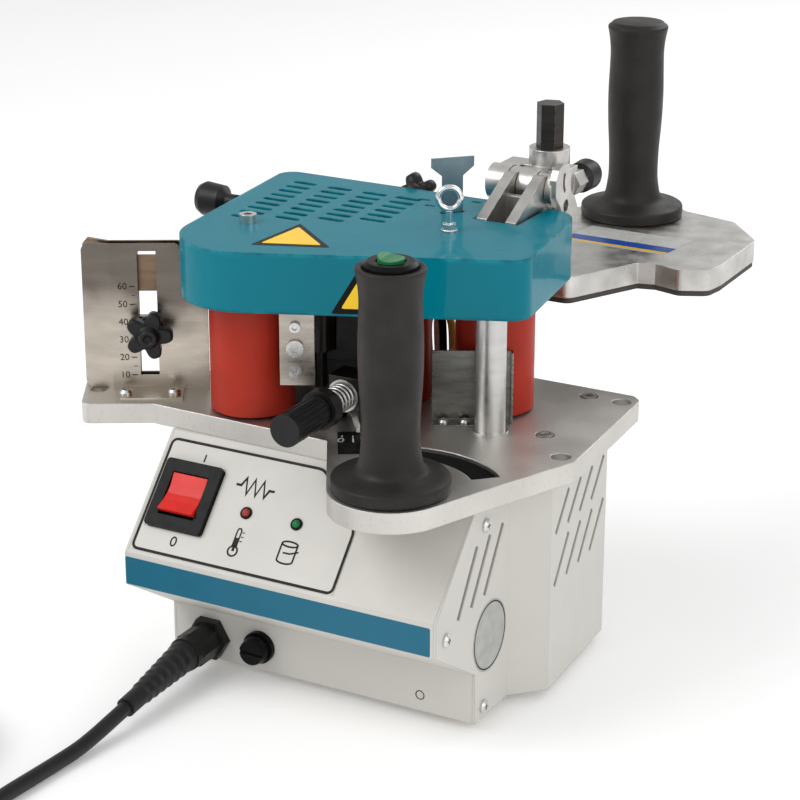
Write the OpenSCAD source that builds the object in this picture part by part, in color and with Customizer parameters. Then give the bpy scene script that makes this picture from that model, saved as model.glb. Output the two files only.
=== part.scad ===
// Portable edge banding machine: hot-melt glue edge bander for straight and curved panels.
// Millimetres, +Z up, +X to the operator's right, +Y away from the operator.
// Inside every module the datum is the housing: x = 0 is its right side, y = 0 the front of
// its nose, z = 0 its bottom face. at_datum() moves that to the part's own origin, which is
// the middle of the machine's footprint on the surface that the feet stand on.

/* [Control housing] */
// Width of the sheet-metal housing
housing_w = 184; // [180:1:190]
// Height of the housing, up to the underside of the deck
housing_h = 127; // [122:1:130]
// Depth of the housing
housing_d = 182; // [180:1:184]
// Sheet thickness of the housing
sheet = 1.5; // [1.2:0.1:2]
// Height of the feet
foot_h = 5; // [4:1:8]

/* [Deck] */
// Thickness of the cast deck plate
deck_t = 11; // [10:0.5:13]
// Diameter of the two bench mounting holes
bench_hole_d = 10.5; // [8:0.5:11]

/* [Rollers and cover] */
// Radius of the left (feed) roller sleeve
feed_r = 22.4; // [20:0.2:22.6]
// Radius of the right (pressure) roller sleeve
press_r = 21; // [18:0.5:21.2]
// Clear height from the deck to the cover
work_h = 64; // [62:1:66]
// Height of the cover
cover_h = 32; // [30:1:34]
// Sheet thickness of the cover
cover_t = 1.5; // [1.2:0.1:2]
// Radius of the support pillars
pillar_r = 8; // [7:0.5:8]

/* [Grips] */
// Radius of the flange under each grip
grip_flange_r = 29.8; // [26:0.2:30]
// Height of each grip
grip_h = 115; // [112:1:118]

/* [Support shoe] */
// Thickness of the support shoe
shoe_t = 12; // [10:1:13]
// Thickness of the rubber under the shoe
pad_t = 3.2; // [2:0.2:4]
// Width across the flats of the height rod
rod_flats = 13; // [12:0.5:13]

/* [Band guide] */
// Angle of the band path to the front of the deck
guide_angle = 30; // [28:1:32]
// Height of the guide plates
guide_h = 82; // [78:1:84]

/* [Mains cord] */
// Diameter of the mains cord
cord_d = 8; // [7:0.5:8.5]

/* [Hidden] */

// The datum's place in the part's own frame
datum_shift = [107.55, -170.95, foot_h];

deck_z = housing_h;
deck_top = deck_z + deck_t;
cover_z = deck_top + work_h;
cover_top = cover_z + cover_h;
fit = 0.05;
gap = 0.3;

// Side profile of the housing, from the front of its foot up and back: [y, z]
nose_z = 74.5;
nose_low = 56;
toe_y = 43.3;
toe_z = 28.3;
panel_top_y = 47.7;
panel_rise = housing_h - nose_z;
panel_tilt = atan2(panel_rise, panel_top_y);

// Plan of the right side: two facets that swell out past the front part
facet_y = 80;
facet_end = [16, 96.5];
facet_back_x = 11;

// Axes of the rollers and the pillars: [x, y]
feed_at = [-149.2, 73.3];
press_at = [-37.2, 135];
pillar_at = [[-22.7, 101.4], [-72, 82], [-176, 122]];
// Band line: it leaves the guide and passes behind both rollers
band_from = [-184.4, 88.5];
band_dir = [cos(26), sin(26)];
band_normal = [-sin(26), cos(26)];
glue_roller_r = 9;
shaft_r = 4;
gear_m = 1.5;
feed_teeth = 40;
glue_teeth = 24;
pinion_teeth = 16;
gear_z = 106;
gear_t = 8;
feed_to_glue = gear_m*(feed_teeth + glue_teeth)/2;
glue_bearing = 74;
glue_at = feed_at + feed_to_glue*[cos(glue_bearing), sin(glue_bearing)];
pinion_bearing = -10;
motor_at = feed_at + gear_m*(feed_teeth + pinion_teeth)/2*[cos(pinion_bearing), sin(pinion_bearing)];

// Grips: [x, y]
front_grip_at = [-30, 8.5];
rear_grip_at = [-45.8, 331.9];

// Deck features
lobe_r = 31.5;
bench_holes = [[20, 173], [25, 86]];
deck_screw_at = [[0.7, 173.4], [4.8, 110], [-172, 160]];
trim_r = [41, 56];
trim_span = [44, 112];

// Support arm: the tilt axis runs along X
tilt_y = 196;
tilt_z = 243;
knuckle_r = 10;
rib_x = [-58, -41];
rib_t = 6;
rod_at = [-46.5, 217];
collar_r = 11.2;
collar_top = 260;
rod_top = 284.5;
clamp_x = -34;
shoe_top = 193.5;
shoe_z = shoe_top - shoe_t;

// Guide: its own frame starts here and runs along guide_angle
guide_at = [-228.6, 58.1];
guide_t = 1.5;
slot_u = [15, 25];
slot_w = [8, 78];
stop_u = 21;
stop_w = 35;

// Mains cord: straight out of the gland, down to the surface and away; [x, y, z]
cord_r = cord_d/2;
floor_z = -foot_h;
cord_low = floor_z + cord_r;
gland_at = [-160.5, toe_y, 12.5];
relief_l = 55.2;
relief_drop = 6.5;
cord_route = [[-160.5, -37.5, 6.2], [-161, -50, 4.2], [-162, -62, 1.8], [-163, -76, 0], [-165, -92, -1],
              [-166.5, -110, -1], [-168, -128, -1], [-169, -146, -1], [-174.1, -165, -1],
              [-188, -178.9, -1], [-207, -184, -1], [-222, -184.2, -1], [-236, -183.8, -1]];
coil_at = [-262, -130];
coil_r = 46;
coil_rows = 3;

module at_datum() translate(datum_shift) children();

// A child drawn in x (along the panel) and y (up the slope), standing out of the sloping panel
module on_panel(x, v) {
    translate([x, 0, nose_z]) rotate([panel_tilt, 0, 0]) translate([0, v, 0]) children();
}

// A child drawn in the guide's frame: x along the band, y to the back, z up from the deck
module on_guide() translate([guide_at[0], guide_at[1], deck_top]) rotate(guide_angle) children();

module block(x, y, z) translate([x[0], y[0], z[0]]) cube([x[1] - x[0], y[1] - y[0], z[1] - z[0]]);

// Plate with rounded corners, drawn from its lower left corner
module round_rect(w, h, r) {
    union() {
        translate([r, 0]) square([w - 2*r, h]);
        translate([0, r]) square([w, h - 2*r]);
        for (x = [r, w - r], y = [r, h - r]) translate([x, y]) circle(r, $fn = 32);
    }
}

// Cap screw with a hexagon socket: head from z = 0 up, shank down
module cap_screw(head_r, head_h, shank_r, shank_l) {
    difference() {
        union() {
            cylinder(r = head_r, h = head_h, $fn = 48);
            translate([0, 0, -shank_l]) cylinder(r = shank_r, h = shank_l, $fn = 32);
        }
        translate([0, 0, head_h*0.4]) cylinder(r = head_r*0.55, h = head_h, $fn = 6);
    }
}

// Pan head screw with a cross recess
module pan_screw(head_r, head_h, shank_r, shank_l) {
    difference() {
        union() {
            rotate_extrude($fn = 48) polygon([[0, 0], [head_r, 0], [head_r, head_h*0.5],
                                              [head_r*0.72, head_h], [0, head_h]]);
            translate([0, 0, -shank_l]) cylinder(r = shank_r, h = shank_l, $fn = 32);
        }
        for (a = [0, 90]) rotate(a) translate([-head_r*0.5, -0.4, head_h*0.5])
            cube([head_r, 0.8, head_h]);
    }
}

// Star knob with round lobes: axis along z, seat at z = 0
module star_knob(r, h, lobes, bore_r) {
    difference() {
        union() {
            cylinder(r = r*0.62, h = h, $fn = 48);
            for (k = [0:lobes - 1]) rotate(360/lobes*k) translate([r*0.7, 0, h*0.35])
                cylinder(r = r*0.3, h = h*0.65, $fn = 32);
        }
        translate([0, 0, -1]) cylinder(r = bore_r, h = h*0.6, $fn = 32);
    }
}

// Spur gear with involute flanks
function involute(rb, t) = rb*[cos(t) + t*PI/180*sin(t), sin(t) - t*PI/180*cos(t)];
function polar(r, a) = r*[cos(a), sin(a)];
function roll_angle(rb, r) = sqrt(max(0, pow(r/rb, 2) - 1))*180/PI;
function flank(rb, r) = let(t = roll_angle(rb, r), p = involute(rb, t)) atan2(p[1], p[0]);
function tooth(teeth, k) =
    let(rp = gear_m*teeth/2, rb = rp*cos(20), rt = rp + 0.85*gear_m, rr = rp - 1.2*gear_m,
        half = 90/teeth - 0.22/rp*180/PI/2, mid = 360/teeth*k, r0 = max(rb, rr),
        base = half + flank(rb, rp), at = [r0, rp, (rp + rt)/2, rt])
    concat([polar(rr, mid - base)],
           [for (r = at) polar(r, mid - base + flank(rb, r))],
           [for (i = [3:-1:0]) polar(at[i], mid + base - flank(rb, at[i]))],
           [polar(rr, mid + base)]);
module gear(teeth, bore_r, turn) {
    difference() {
        rotate(turn) linear_extrude(gear_t) polygon([for (k = [0:teeth - 1]) each tooth(teeth, k)]);
        translate([0, 0, -1]) cylinder(r = bore_r, h = gear_t + 2, $fn = 32);
    }
}

// Outline of the deck, seen from above
module deck_outline() {
    difference() {
        union() {
            offset(r = 5, $fn = 32) offset(delta = -5)
                polygon([[-231, 31], [-198, 50], [-89, 48], [-57.3, -7.3], [-0.9, -3.6], [12, 30],
                         [34, 83], [33.5, 92], [27.5, 180], [22, 185], [-196, 185], [-200, 105],
                         [-256, 74]]);
            translate(front_grip_at) circle(lobe_r, $fn = 96);
        }
        trim_slot(0);
    }
}

// Curved opening behind the front grip, for the trimmed ends of the band
module trim_slot(grow) {
    translate(front_grip_at) intersection() {
        difference() {
            circle(trim_r[1] + grow, $fn = 96);
            circle(trim_r[0] - grow, $fn = 96);
        }
        polygon([[0, 0], polar(90, trim_span[0] - grow), polar(90, 78), polar(90, trim_span[1] + grow)]);
    }
}

// Plan of the housing
module housing_plan(inset) {
    offset(delta = -inset)
        polygon([[-housing_w, -20], [0, -20], [0, facet_y], facet_end, [facet_back_x, 177],
                 [facet_back_x - 5, housing_d], [-housing_w, housing_d]]);
}

// Side profile of the housing, swept across its width
module housing_profile(x0, x1, inset, back) {
    translate([x0, 0, 0]) rotate([90, 0, 90]) linear_extrude(x1 - x0) offset(delta = -inset)
        polygon([[toe_y, 0], [toe_y, toe_z], [0, nose_low], [0, nose_z], [panel_top_y, housing_h],
                 [back, housing_h], [back, 0]]);
}

module base_plate() at_datum() color("#a9adb0") difference() {
    translate([0, 0, deck_z]) linear_extrude(deck_t) deck_outline();
    for (p = bench_holes) translate([p[0], p[1], deck_z - 1])
        cylinder(d = bench_hole_d, h = deck_t + 2, $fn = 64);
    translate([-236, 54.5, deck_z - 1]) cylinder(d = 9, h = deck_t + 2, $fn = 48);
    for (p = deck_screw_at) translate([p[0], p[1], deck_z - 1]) {
        cylinder(r = 2.6, h = deck_t + 2, $fn = 32);
        translate([0, 0, deck_t - 4]) cylinder(r = 5, h = 6, $fn = 48);
    }
    // Running bores of the driven shafts, and the blind bore of the pressure roller's axle
    for (p = [feed_at, glue_at]) translate([p[0], p[1], deck_z - 1])
        cylinder(r = shaft_r + fit, h = deck_t + 2, $fn = 48);
    translate([press_at[0], press_at[1], deck_z + 3]) cylinder(r = shaft_r + fit, h = deck_t, $fn = 48);
    for (p = concat(pillar_at, [idler_at])) translate([p[0], p[1], deck_z - 1])
        cylinder(r = 4, h = deck_t + 2, $fn = 32);
    translate([front_grip_at[0], front_grip_at[1], deck_z - 1])
        cylinder(r = 6, h = deck_t + 2, $fn = 32);
    on_guide() for (u = front_foot_u) translate([u, -11.5, -9]) cylinder(r = 2, h = 10, $fn = 32);
    on_guide() for (u = back_foot_u) translate([u, 13, -9]) cylinder(r = 2, h = 10, $fn = 32);
    guard_frame() for (u = guard_u) translate([u, -5, deck_top - 8]) cylinder(r = 1.5, h = 9, $fn = 32);
    translate([flow_pivot[0], flow_pivot[1], deck_top - 6]) cylinder(r = 2 + fit, h = 7, $fn = 32);
    // Window for the wires from the glue pot
    block([-82, -68], [139, 152], [deck_z - 1, deck_top + 1]);
}
module body_shell() at_datum() color("#d6d3cc") difference() {
    intersection() {
        linear_extrude(housing_h) difference() {
            housing_plan(0);
            housing_plan_inner();
        }
        housing_profile(-housing_w - 1, 30, 0, 200);
    }
    // Vents in the two right-hand facets
    for (k = [0:2]) translate([-5, 43.6 + 14.4*k, 99.7 + k]) vent_slot(38, 32);
    for (k = [0:3]) {
        translate([5, 120.5 + 17*k, 106.5]) vent_slot(26, 42);
        translate([5, 121.5 + 17*k, 81]) vent_slot(30, 39);
    }
    for (p = side_screw_at) translate([-3, p[0], p[1]]) rotate([0, 90, 0])
        cylinder(r = 2, h = 6, $fn = 32);
    for (y = [70, 150]) translate([-housing_w - 1, y, 14]) rotate([0, 90, 0])
        cylinder(r = 2, h = 6, $fn = 32);
    for (x = [-150, -50], z = [12, 110]) translate([x, housing_d + 1, z]) rotate([90, 0, 0])
        cylinder(r = 2, h = 6, $fn = 32);
    for (k = [0:5]) block([-140 + 14*k, -134 + 14*k], [housing_d - 5, housing_d + 5], [40, 90]);
}
side_screw_at = [[52.3, 108.1], [10.2, 62.2], [52.3, 6.7]];

// Inside of the housing walls; it runs on past the front, which the front cover closes
module housing_plan_inner() {
    offset(delta = -sheet)
        polygon([[-housing_w, -60], [0, -60], [0, facet_y], facet_end, [facet_back_x, 177],
                 [facet_back_x - 5, housing_d], [-housing_w, housing_d]]);
}

// Slanted slot through a side wall: starts at its upper end and leans down to the front
module vent_slot(l, lean) rotate([-lean, 0, 0]) translate([0, -1.6, -l]) cube([30, 3.2, l]);

module front_cover() at_datum() color("#dddad3") difference() {
    housing_profile(-housing_w + sheet, -sheet, 0, 120);
    housing_profile(-housing_w, 1, sheet, 130);
    block([-housing_w, 1], [panel_top_y + 8, 140], [-1, housing_h + 1]);
    translate([0, 0, housing_h - 3]) linear_extrude(5) trim_slot(1.5);
    on_panel(-174, 21) block([0, 26], [0, 29], [-5, 5]);
    for (x = [-122.8, -92.6]) on_panel(x, 34.4) translate([0, 0, -5]) cylinder(r = 2.5, h = 10, $fn = 32);
    translate(gland_at) rotate([90, 0, 0]) translate([0, 0, -5]) cylinder(r = 7, h = 10, $fn = 48);
    translate(fuse_at) rotate([90, 0, 0]) translate([0, 0, -5]) cylinder(r = 6.2, h = 10, $fn = 48);
}
fuse_at = [-129, toe_y, 14];

module bottom_cover() at_datum() color("#b9b6ae") difference() {
    linear_extrude(sheet) intersection() {
        housing_plan(sheet + 0.2);
        translate([-housing_w, panel_top_y + 8.3]) square([housing_w + 30, 200]);
    }
    for (p = foot_at) translate([p[0], p[1], -1]) cylinder(r = 2.5, h = 6, $fn = 32);
}
foot_at = [[-14, 61], [-158, 62], [-16, 166], [-158, 166]];

module rubber_feet() at_datum() color("#cdc4a6") for (p = foot_at) translate([p[0], p[1], 0]) {
    translate([0, 0, floor_z]) cylinder(r1 = 9, r2 = 10.5, h = foot_h, $fn = 64);
    cylinder(r = 2.4, h = 4, $fn = 32);
}

// Threaded posts that tie the deck to the bottom of the housing
module deck_posts() at_datum() color("#9a9da0") for (p = deck_screw_at) translate([p[0], p[1], sheet])
    difference() {
        cylinder(r = 5.5, h = deck_z - sheet, $fn = 48);
        translate([0, 0, deck_z - sheet - 16]) cylinder(r = 2.6, h = 17, $fn = 32);
    }

module housing_screws() at_datum() color("#c9ccce") {
    for (p = side_screw_at) translate([0, p[0], p[1]]) rotate([0, 90, 0]) pan_screw(3.6, 2.2, 1.9, 5);
    for (y = [70, 150]) translate([-housing_w, y, 14]) rotate([0, -90, 0]) pan_screw(3.6, 2.2, 1.9, 5);
    for (x = [-150, -50], z = [12, 110]) translate([x, housing_d, z]) rotate([-90, 0, 0])
        pan_screw(3.6, 2.2, 1.9, 5);
}

module panel_label() at_datum() color("#e4e2de") difference() {
    on_panel(0, 0) linear_extrude(0.4) polygon([[-181.5, 2.5], [-59.5, 2.5],
        [-59.5, 38.5], [-88, 66.7], [-181.5, 66.7]]);
    on_panel(-178.3, 16.2) block([0, 35.2], [0, 38.6], [-1, 2]);
    for (x = [-122.8, -92.6]) on_panel(x, 34.4) translate([0, 0, -1]) cylinder(r = 3.2, h = 3, $fn = 32);
}

module switch_bezel() at_datum() color("#26282a") on_panel(-178, 16.5) difference() {
    union() {
        linear_extrude(3.2) round_rect(34.6, 38, 2);
        translate([4.3, 4.8, -16]) cube([25.4, 28.4, 16]);
    }
    translate([6.2, 7, -12]) cube([21.8, 24, 20]);
}

module power_rocker() at_datum() color("#ec3c32") on_panel(-160.9, 35.5) rotate([-8, 0, 0])
    translate([-10.5, 0, 0]) rotate([90, 0, 90]) linear_extrude(21) polygon([[-10.6, 1.2], [-10.9, 4.6],
        [-4, 2.6], [0, 2.2], [4, 2.6], [10.9, 4.6], [10.6, 1.2], [6, -5], [-6, -5]]);

module indicator_lenses() at_datum() {
    for (x = [-122.8, -92.6]) color(x < -100 ? "#b8503c" : "#3fae6a") on_panel(x, 34.4) {
        rotate_extrude($fn = 48) polygon([[0, -8], [2.4, -8], [2.4, 0.4], [3, 0.4], [2.8, 1.4],
                                          [1.6, 2.2], [0, 2.5]]);
    }
}

module fuse_holder() at_datum() color("#202123") translate(fuse_at) rotate([90, 0, 0]) difference() {
    union() {
        cylinder(r = 9, h = 3, $fn = 64);
        translate([0, 0, -28]) cylinder(r = 6, h = 28, $fn = 48);
    }
    translate([0, 0, -20]) cylinder(r = 4.9, h = 30, $fn = 48);
}

module fuse_cap() at_datum() color("#2b2c2e") translate(fuse_at) rotate([90, 0, 0]) difference() {
    union() {
        translate([0, 0, -18]) cylinder(r = 4.5, h = 18, $fn = 48);
        cylinder(r = 4.5, h = 4, $fn = 48);
        translate([0, 0, 3.4]) rotate_extrude($fn = 64) polygon([[0, 0], [7.6, 0], [7.8, 3], [6.8, 7], [0, 7]]);
    }
    translate([-8, -0.9, 9.2]) cube([16, 1.8, 3]);
}

// Outline of half a grip: [radius, height], from the flange up to the lip
grip_profile = [[grip_flange_r - 1.2, 0], [grip_flange_r, 2], [grip_flange_r, 6], [28.8, 7],
    [20.6, 9.4], [17.7, 11.2], [16, 14.2], [15, 19], [14.3, 27], [14.6, 40], [15.6, 56], [16, 72],
    [15.6, 88], [15.4, 96], [15.8, 102], [16.6, 107.5], [17.2, 111], [16.2, grip_h - 2]];
module grip_body(bore_r) rotate_extrude($fn = 96)
    polygon(concat([[bore_r, 0]], grip_profile, [[bore_r, grip_h - 2]]));

module front_grip() at_datum() color("#3b3835")
    translate([front_grip_at[0], front_grip_at[1], deck_top]) grip_body(9.5);

module front_grip_core() at_datum() color("#8a8d90")
    translate([front_grip_at[0], front_grip_at[1], deck_top]) difference() {
        union() {
            cylinder(r = 9.3, h = grip_h - 18, $fn = 64);
            translate([0, 0, -deck_t - 2]) cylinder(r = 5.9, h = deck_t + 2, $fn = 48);
        }
        translate([0, 0, -deck_t - 3]) cylinder(r = 4, h = grip_h + 20, $fn = 32);
    }

module grip_switch_bezel() at_datum() color("#2a2a2b")
    translate([front_grip_at[0], front_grip_at[1], deck_top + grip_h]) difference() {
        union() {
            translate([0, 0, -2]) rotate_extrude($fn = 64)
                polygon([[0, 0], [13.5, 0], [13.5, 1.6], [11.5, 3], [0, 3]]);
            translate([0, 0, -16]) cylinder(r = 9.2, h = 15, $fn = 64);
        }
        translate([0, 0, -9]) cylinder(r = 7.4, h = 20, $fn = 64);
    }

module grip_rocker() at_datum() color("#2e8b50")
    translate([front_grip_at[0], front_grip_at[1], deck_top + grip_h]) rotate([0, 6, 0]) intersection() {
        translate([0, 8, 0]) rotate([90, 0, 0]) linear_extrude(16)
            polygon([[-6.9, -5], [6.9, -5], [6.9, 3.4], [3, 2.4], [0, 2.1], [-3, 2.4], [-6.9, 3.4]]);
        translate([0, 0, -6]) cylinder(r = 6.6, h = 20, $fn = 64);
    }

// Pillars between the deck and the upper plate, and the thinner pin of the idler
module pillar(p, r) translate([p[0], p[1], 0]) {
    translate([0, 0, deck_z]) cylinder(r = 3.9, h = deck_t, $fn = 48);
    translate([0, 0, deck_top]) cylinder(r = r + 1.6, h = 1, $fn = 64);
    translate([0, 0, deck_top + 1]) cylinder(r = r, h = upper_z - deck_top - 1, $fn = 64);
    translate([0, 0, upper_z]) cylinder(r = 3.9, h = upper_t, $fn = 48);
}
module pillars() at_datum() color("#b4b8bb") {
    for (p = pillar_at) pillar(p, pillar_r);
    pillar(idler_at, idler_pin_r);
}
upper_z = cover_z + 8;
upper_t = 6;

// Outline of the cover: round over the feed roller, straight sides elsewhere
module cover_outline(inset) {
    hull() {
        translate(feed_at) circle(36.5 - inset, $fn = 96);
        translate([-14.5, 104.5]) circle(12 - inset, $fn = 48);
        translate([-32, 169]) circle(20 - inset, $fn = 64);
        translate([-187.5, 179.5]) circle(9 - inset, $fn = 48);
    }
}

module upper_plate() at_datum() color("#9b9fa2") difference() {
    union() {
        translate([0, 0, upper_z]) linear_extrude(upper_t) cover_outline(cover_t + 1);
        for (p = [cover_screw_at, eye_at]) translate([p[0], p[1], upper_z])
            cylinder(r = 5, h = cover_top - cover_t - upper_z, $fn = 48);
        block([-188, -178], [side_knob_at[0] - 7, side_knob_at[0] + 7], [upper_z, side_knob_at[1] + 5]);
        block([rear_knob_at[0] - 7, rear_knob_at[0] + 7], [174, 184], [upper_z, rear_knob_at[1] + 3.5]);
    }
    for (p = [feed_at, press_at, glue_at]) translate([p[0], p[1], upper_z - 1])
        cylinder(r = shaft_r + fit, h = upper_t + 2, $fn = 48);
    for (p = concat(pillar_at, [idler_at])) translate([p[0], p[1], upper_z - 1])
        cylinder(r = 4, h = upper_t + 2, $fn = 32);
    // Filling opening of the glue pot
    block([-148, -104], [142, 150], [upper_z - 1, upper_z + upper_t + 1]);
    for (p = concat(arm_screw_at, [eye_at, cover_screw_at])) translate([p[0], p[1], upper_z - 1])
        cylinder(r = 2.6, h = 40, $fn = 32);
    shear_frame() block([3, 15], [5.5, 9.5], [upper_z - 1, upper_z + upper_t + 1]);
    translate([-170, side_knob_at[0], side_knob_at[1]]) rotate([0, -90, 0])
        cylinder(r = 2.2, h = 30, $fn = 32);
    translate([rear_knob_at[0], 170, rear_knob_at[1]]) rotate([-90, 0, 0])
        cylinder(r = 2.2, h = 30, $fn = 32);
}
side_knob_at = [138, 227];
rear_knob_at = [-118.5, 228];
cover_screw_at = [-160, 88.8];
eye_at = [-60, 125.5];
arm_screw_at = [[-46.5, 160], [-46.5, 170]];

// Vent rows of the cover: [first x, first y, rows]
vent_rows = [[-173, 168, 9], [-150.5, 167.5, 8], [-128.5, 167.5, 7], [-108, 168, 6]];

module top_cover() at_datum() color("#007d93") difference() {
    translate([0, 0, cover_z]) linear_extrude(cover_h) cover_outline(0);
    translate([0, 0, cover_z - 1]) linear_extrude(cover_h + 1 - cover_t) cover_outline(cover_t);
    for (c = vent_rows, k = [0:c[2] - 1])
        translate([c[0] - 7.5 + 0.7*k, c[1] - 9.1*k, cover_top - 3]) linear_extrude(6) vent_outline();
    for (p = [[-99.3, 172], [-91, 163], [-72, 181]]) block([p[0] - 3, p[0] + 3], [p[1] - 1, p[1] + 1],
                                                           [cover_top - 3, cover_top + 3]);
    // Cut-outs for the arm bracket, in the top and down the back wall
    block([rib_x[0] - 1.5, rib_x[1] + rib_t + 1.5], [152, 200], [upper_z + upper_t - 1, cover_top + 5]);
    for (p = [eye_at, cover_screw_at]) translate([p[0], p[1], cover_top - 5])
        cylinder(r = 2.6, h = 9, $fn = 32);
    gate_frame() block([-6.6, 6.6], [-1.5, 1.5], [cover_top - 5, cover_top + 5]);
    translate([-188, side_knob_at[0], side_knob_at[1]]) rotate([0, -90, 0]) cylinder(r = 2.6, h = 20, $fn = 32);
    translate([rear_knob_at[0], 185, rear_knob_at[1]]) rotate([-90, 0, 0]) cylinder(r = 2.6, h = 20, $fn = 32);
}
module vent_outline() union() {
    translate([2, -0.8]) square([11, 4]);
    for (x = [2, 13]) translate([x, 1.2]) circle(2, $fn = 24);
}

module eyebolt() at_datum() color("#d8dadc") translate([eye_at[0], eye_at[1], cover_top]) {
    translate([0, 0, 17.5]) rotate([90, 0, guide_angle]) rotate_extrude($fn = 64)
        translate([5.8, 0]) circle(1.6, $fn = 32);
    translate([0, 0, -20]) cylinder(r = 2.5, h = 20, $fn = 32);
    cylinder(r = 1.9, h = 11, $fn = 32);
    cylinder(r = 4.4, h = 1, $fn = 48);
    translate([0, 0, 1]) cylinder(r = 3.9, h = 3.2, $fn = 6);
}
// Glue pot behind the band line: hollow, open at the top, with a window for the glue roller
module pot_outline(grow) offset(delta = grow) polygon([[-163, 112], [-142, 118], [-100, 134],
                                                       [-100, 153], [-163, 153]]);
module glue_pot() at_datum() color("#1d1d1f") difference() {
    translate([0, 0, pot_z]) linear_extrude(upper_z - pot_z) pot_outline(0);
    translate([0, 0, pot_z + 6]) linear_extrude(100) pot_outline(-3.5);
    translate([glue_at[0], glue_at[1], pot_z + 6]) cylinder(r = glue_roller_r + 0.6, h = 100, $fn = 64);
    translate([glue_at[0], glue_at[1], pot_z - 1]) cylinder(r = shaft_r + gap, h = 10, $fn = 48);
}
pot_z = deck_top + 14;
// Gate that meters the glue: a T-shaped pull above the cover, a link and a blade in the pot
gate_at = [-75, 157.5];
module gate_frame() translate([gate_at[0], gate_at[1], 0]) rotate(45) children();
module glue_gate() at_datum() color("#5b7076") {
    gate_frame() rotate([90, 0, 0]) translate([0, 0, -0.75]) linear_extrude(1.5)
        polygon([[-5.7, upper_z + upper_t + 1], [5.7, upper_z + upper_t + 1], [5.7, cover_top + 20],
                 [11.8, cover_top + 25], [11.8, cover_top + 30], [-11.8, cover_top + 30],
                 [-11.8, cover_top + 25], [-5.7, cover_top + 20]]);
    translate([0, 0, upper_z + upper_t + 1]) linear_extrude(2)
        polygon([[-79, 153], [-71, 161], [-76, 165], [-104, 150], [-124, 150], [-124, 146.2], [-104, 146.2]]);
    block([-124, -108], [146.2, 147.7], [pot_z + 20, upper_z + upper_t + 1]);
}

module glue_roller() at_datum() color("#8d9194") translate([glue_at[0], glue_at[1], 0]) {
    translate([0, 0, pot_z + 7]) cylinder(r = glue_roller_r, h = cover_z - pot_z - 10, $fn = 64);
    translate([0, 0, gear_z]) cylinder(r = shaft_r, h = upper_z + upper_t - gear_z, $fn = 48);
    translate([0, 0, gear_z]) gear(glue_teeth, shaft_r, 180 + glue_bearing + 180/glue_teeth);
}

module feed_roller_core() at_datum() color("#a2a6a9") translate([feed_at[0], feed_at[1], 0]) {
    translate([0, 0, deck_top + 1]) cylinder(r = 14, h = cover_z + 3 - deck_top - 1, $fn = 64);
    translate([0, 0, gear_z]) cylinder(r = shaft_r, h = upper_z + upper_t - gear_z, $fn = 48);
    translate([0, 0, gear_z]) gear(feed_teeth, shaft_r, glue_bearing);
}
module feed_roller_sleeve() at_datum() color("#b2372a") translate([feed_at[0], feed_at[1], deck_top + 1.5])
    difference() {
        cylinder(r = feed_r, h = cover_z + 2.5 - deck_top - 1.5, $fn = 128);
        translate([0, 0, -1]) cylinder(r = 14, h = 100, $fn = 64);
    }

module press_roller_core() at_datum() color("#a2a6a9") translate([press_at[0], press_at[1], 0]) {
    translate([0, 0, deck_top + 1]) cylinder(r = 13, h = cover_z + 3 - deck_top - 1, $fn = 64);
    translate([0, 0, deck_z + 3.2]) cylinder(r = shaft_r, h = upper_z + upper_t - deck_z - 3.2, $fn = 48);
}
module press_roller_sleeve() at_datum() color("#a83226")
    translate([press_at[0], press_at[1], deck_top + 1.5]) difference() {
        cylinder(r = press_r, h = cover_z + 2.5 - deck_top - 1.5, $fn = 128);
        translate([0, 0, -1]) cylinder(r = 13, h = 100, $fn = 64);
    }

// Small idler between the feed roller and the pressure roller; it turns on a fixed pin
idler_at = [-82, 123];
idler_r = 12;
idler_pin_r = 5;
module idler_roller() at_datum() color("#a83226") translate([idler_at[0], idler_at[1], deck_top + 1.5])
    difference() {
        cylinder(r = idler_r, h = cover_z + 2.5 - deck_top - 1.5, $fn = 96);
        translate([0, 0, -1]) cylinder(r = idler_pin_r + gap, h = 100, $fn = 64);
    }

module gear_motor() at_datum() color("#55585b") translate([motor_at[0], motor_at[1], 0]) difference() {
    union() {
        translate([0, 0, 34]) cylinder(r = 24, h = 48, $fn = 96);
        translate([-26, -24, 82]) cube([52, 52, 22]);
        for (p = [[21, -6.5], [21, 22], [-5, 22]]) translate([p[0], p[1], 104])
            cylinder(r = 3, h = deck_z - 104, $fn = 32);
    }
    translate([0, 0, 90]) cylinder(r = shaft_r + fit, h = 20, $fn = 48);
}
module motor_pinion() at_datum() color("#b98b3c") translate([motor_at[0], motor_at[1], 0]) {
    translate([0, 0, 90.2]) cylinder(r = shaft_r, h = gear_z + gear_t - 90.2, $fn = 48);
    translate([0, 0, gear_z]) gear(pinion_teeth, shaft_r, 180 + pinion_bearing + pinion_phase);
}
// Turn that puts the pinion's gap on the feed gear's tooth at this bearing
feed_pitch = 360/feed_teeth;
feed_offset = (pinion_bearing - glue_bearing)/feed_pitch - floor((pinion_bearing - glue_bearing)/feed_pitch);
pinion_phase = 360/pinion_teeth*(0.5 + feed_offset);

module control_board() at_datum() color("#2f6b43") {
    block([-160, -78], [100, 160], [12, 13.6]);
    for (x = [-154, -84], y = [106, 154]) translate([x, y, sheet]) cylinder(r = 2.5, h = 12 - sheet, $fn = 32);
    block([-146, -126], [120, 140], [13.6, 28]);
    for (x = [-118, -100]) translate([x, 130, 13.6]) cylinder(r = 6, h = 18, $fn = 48);
}

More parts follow.
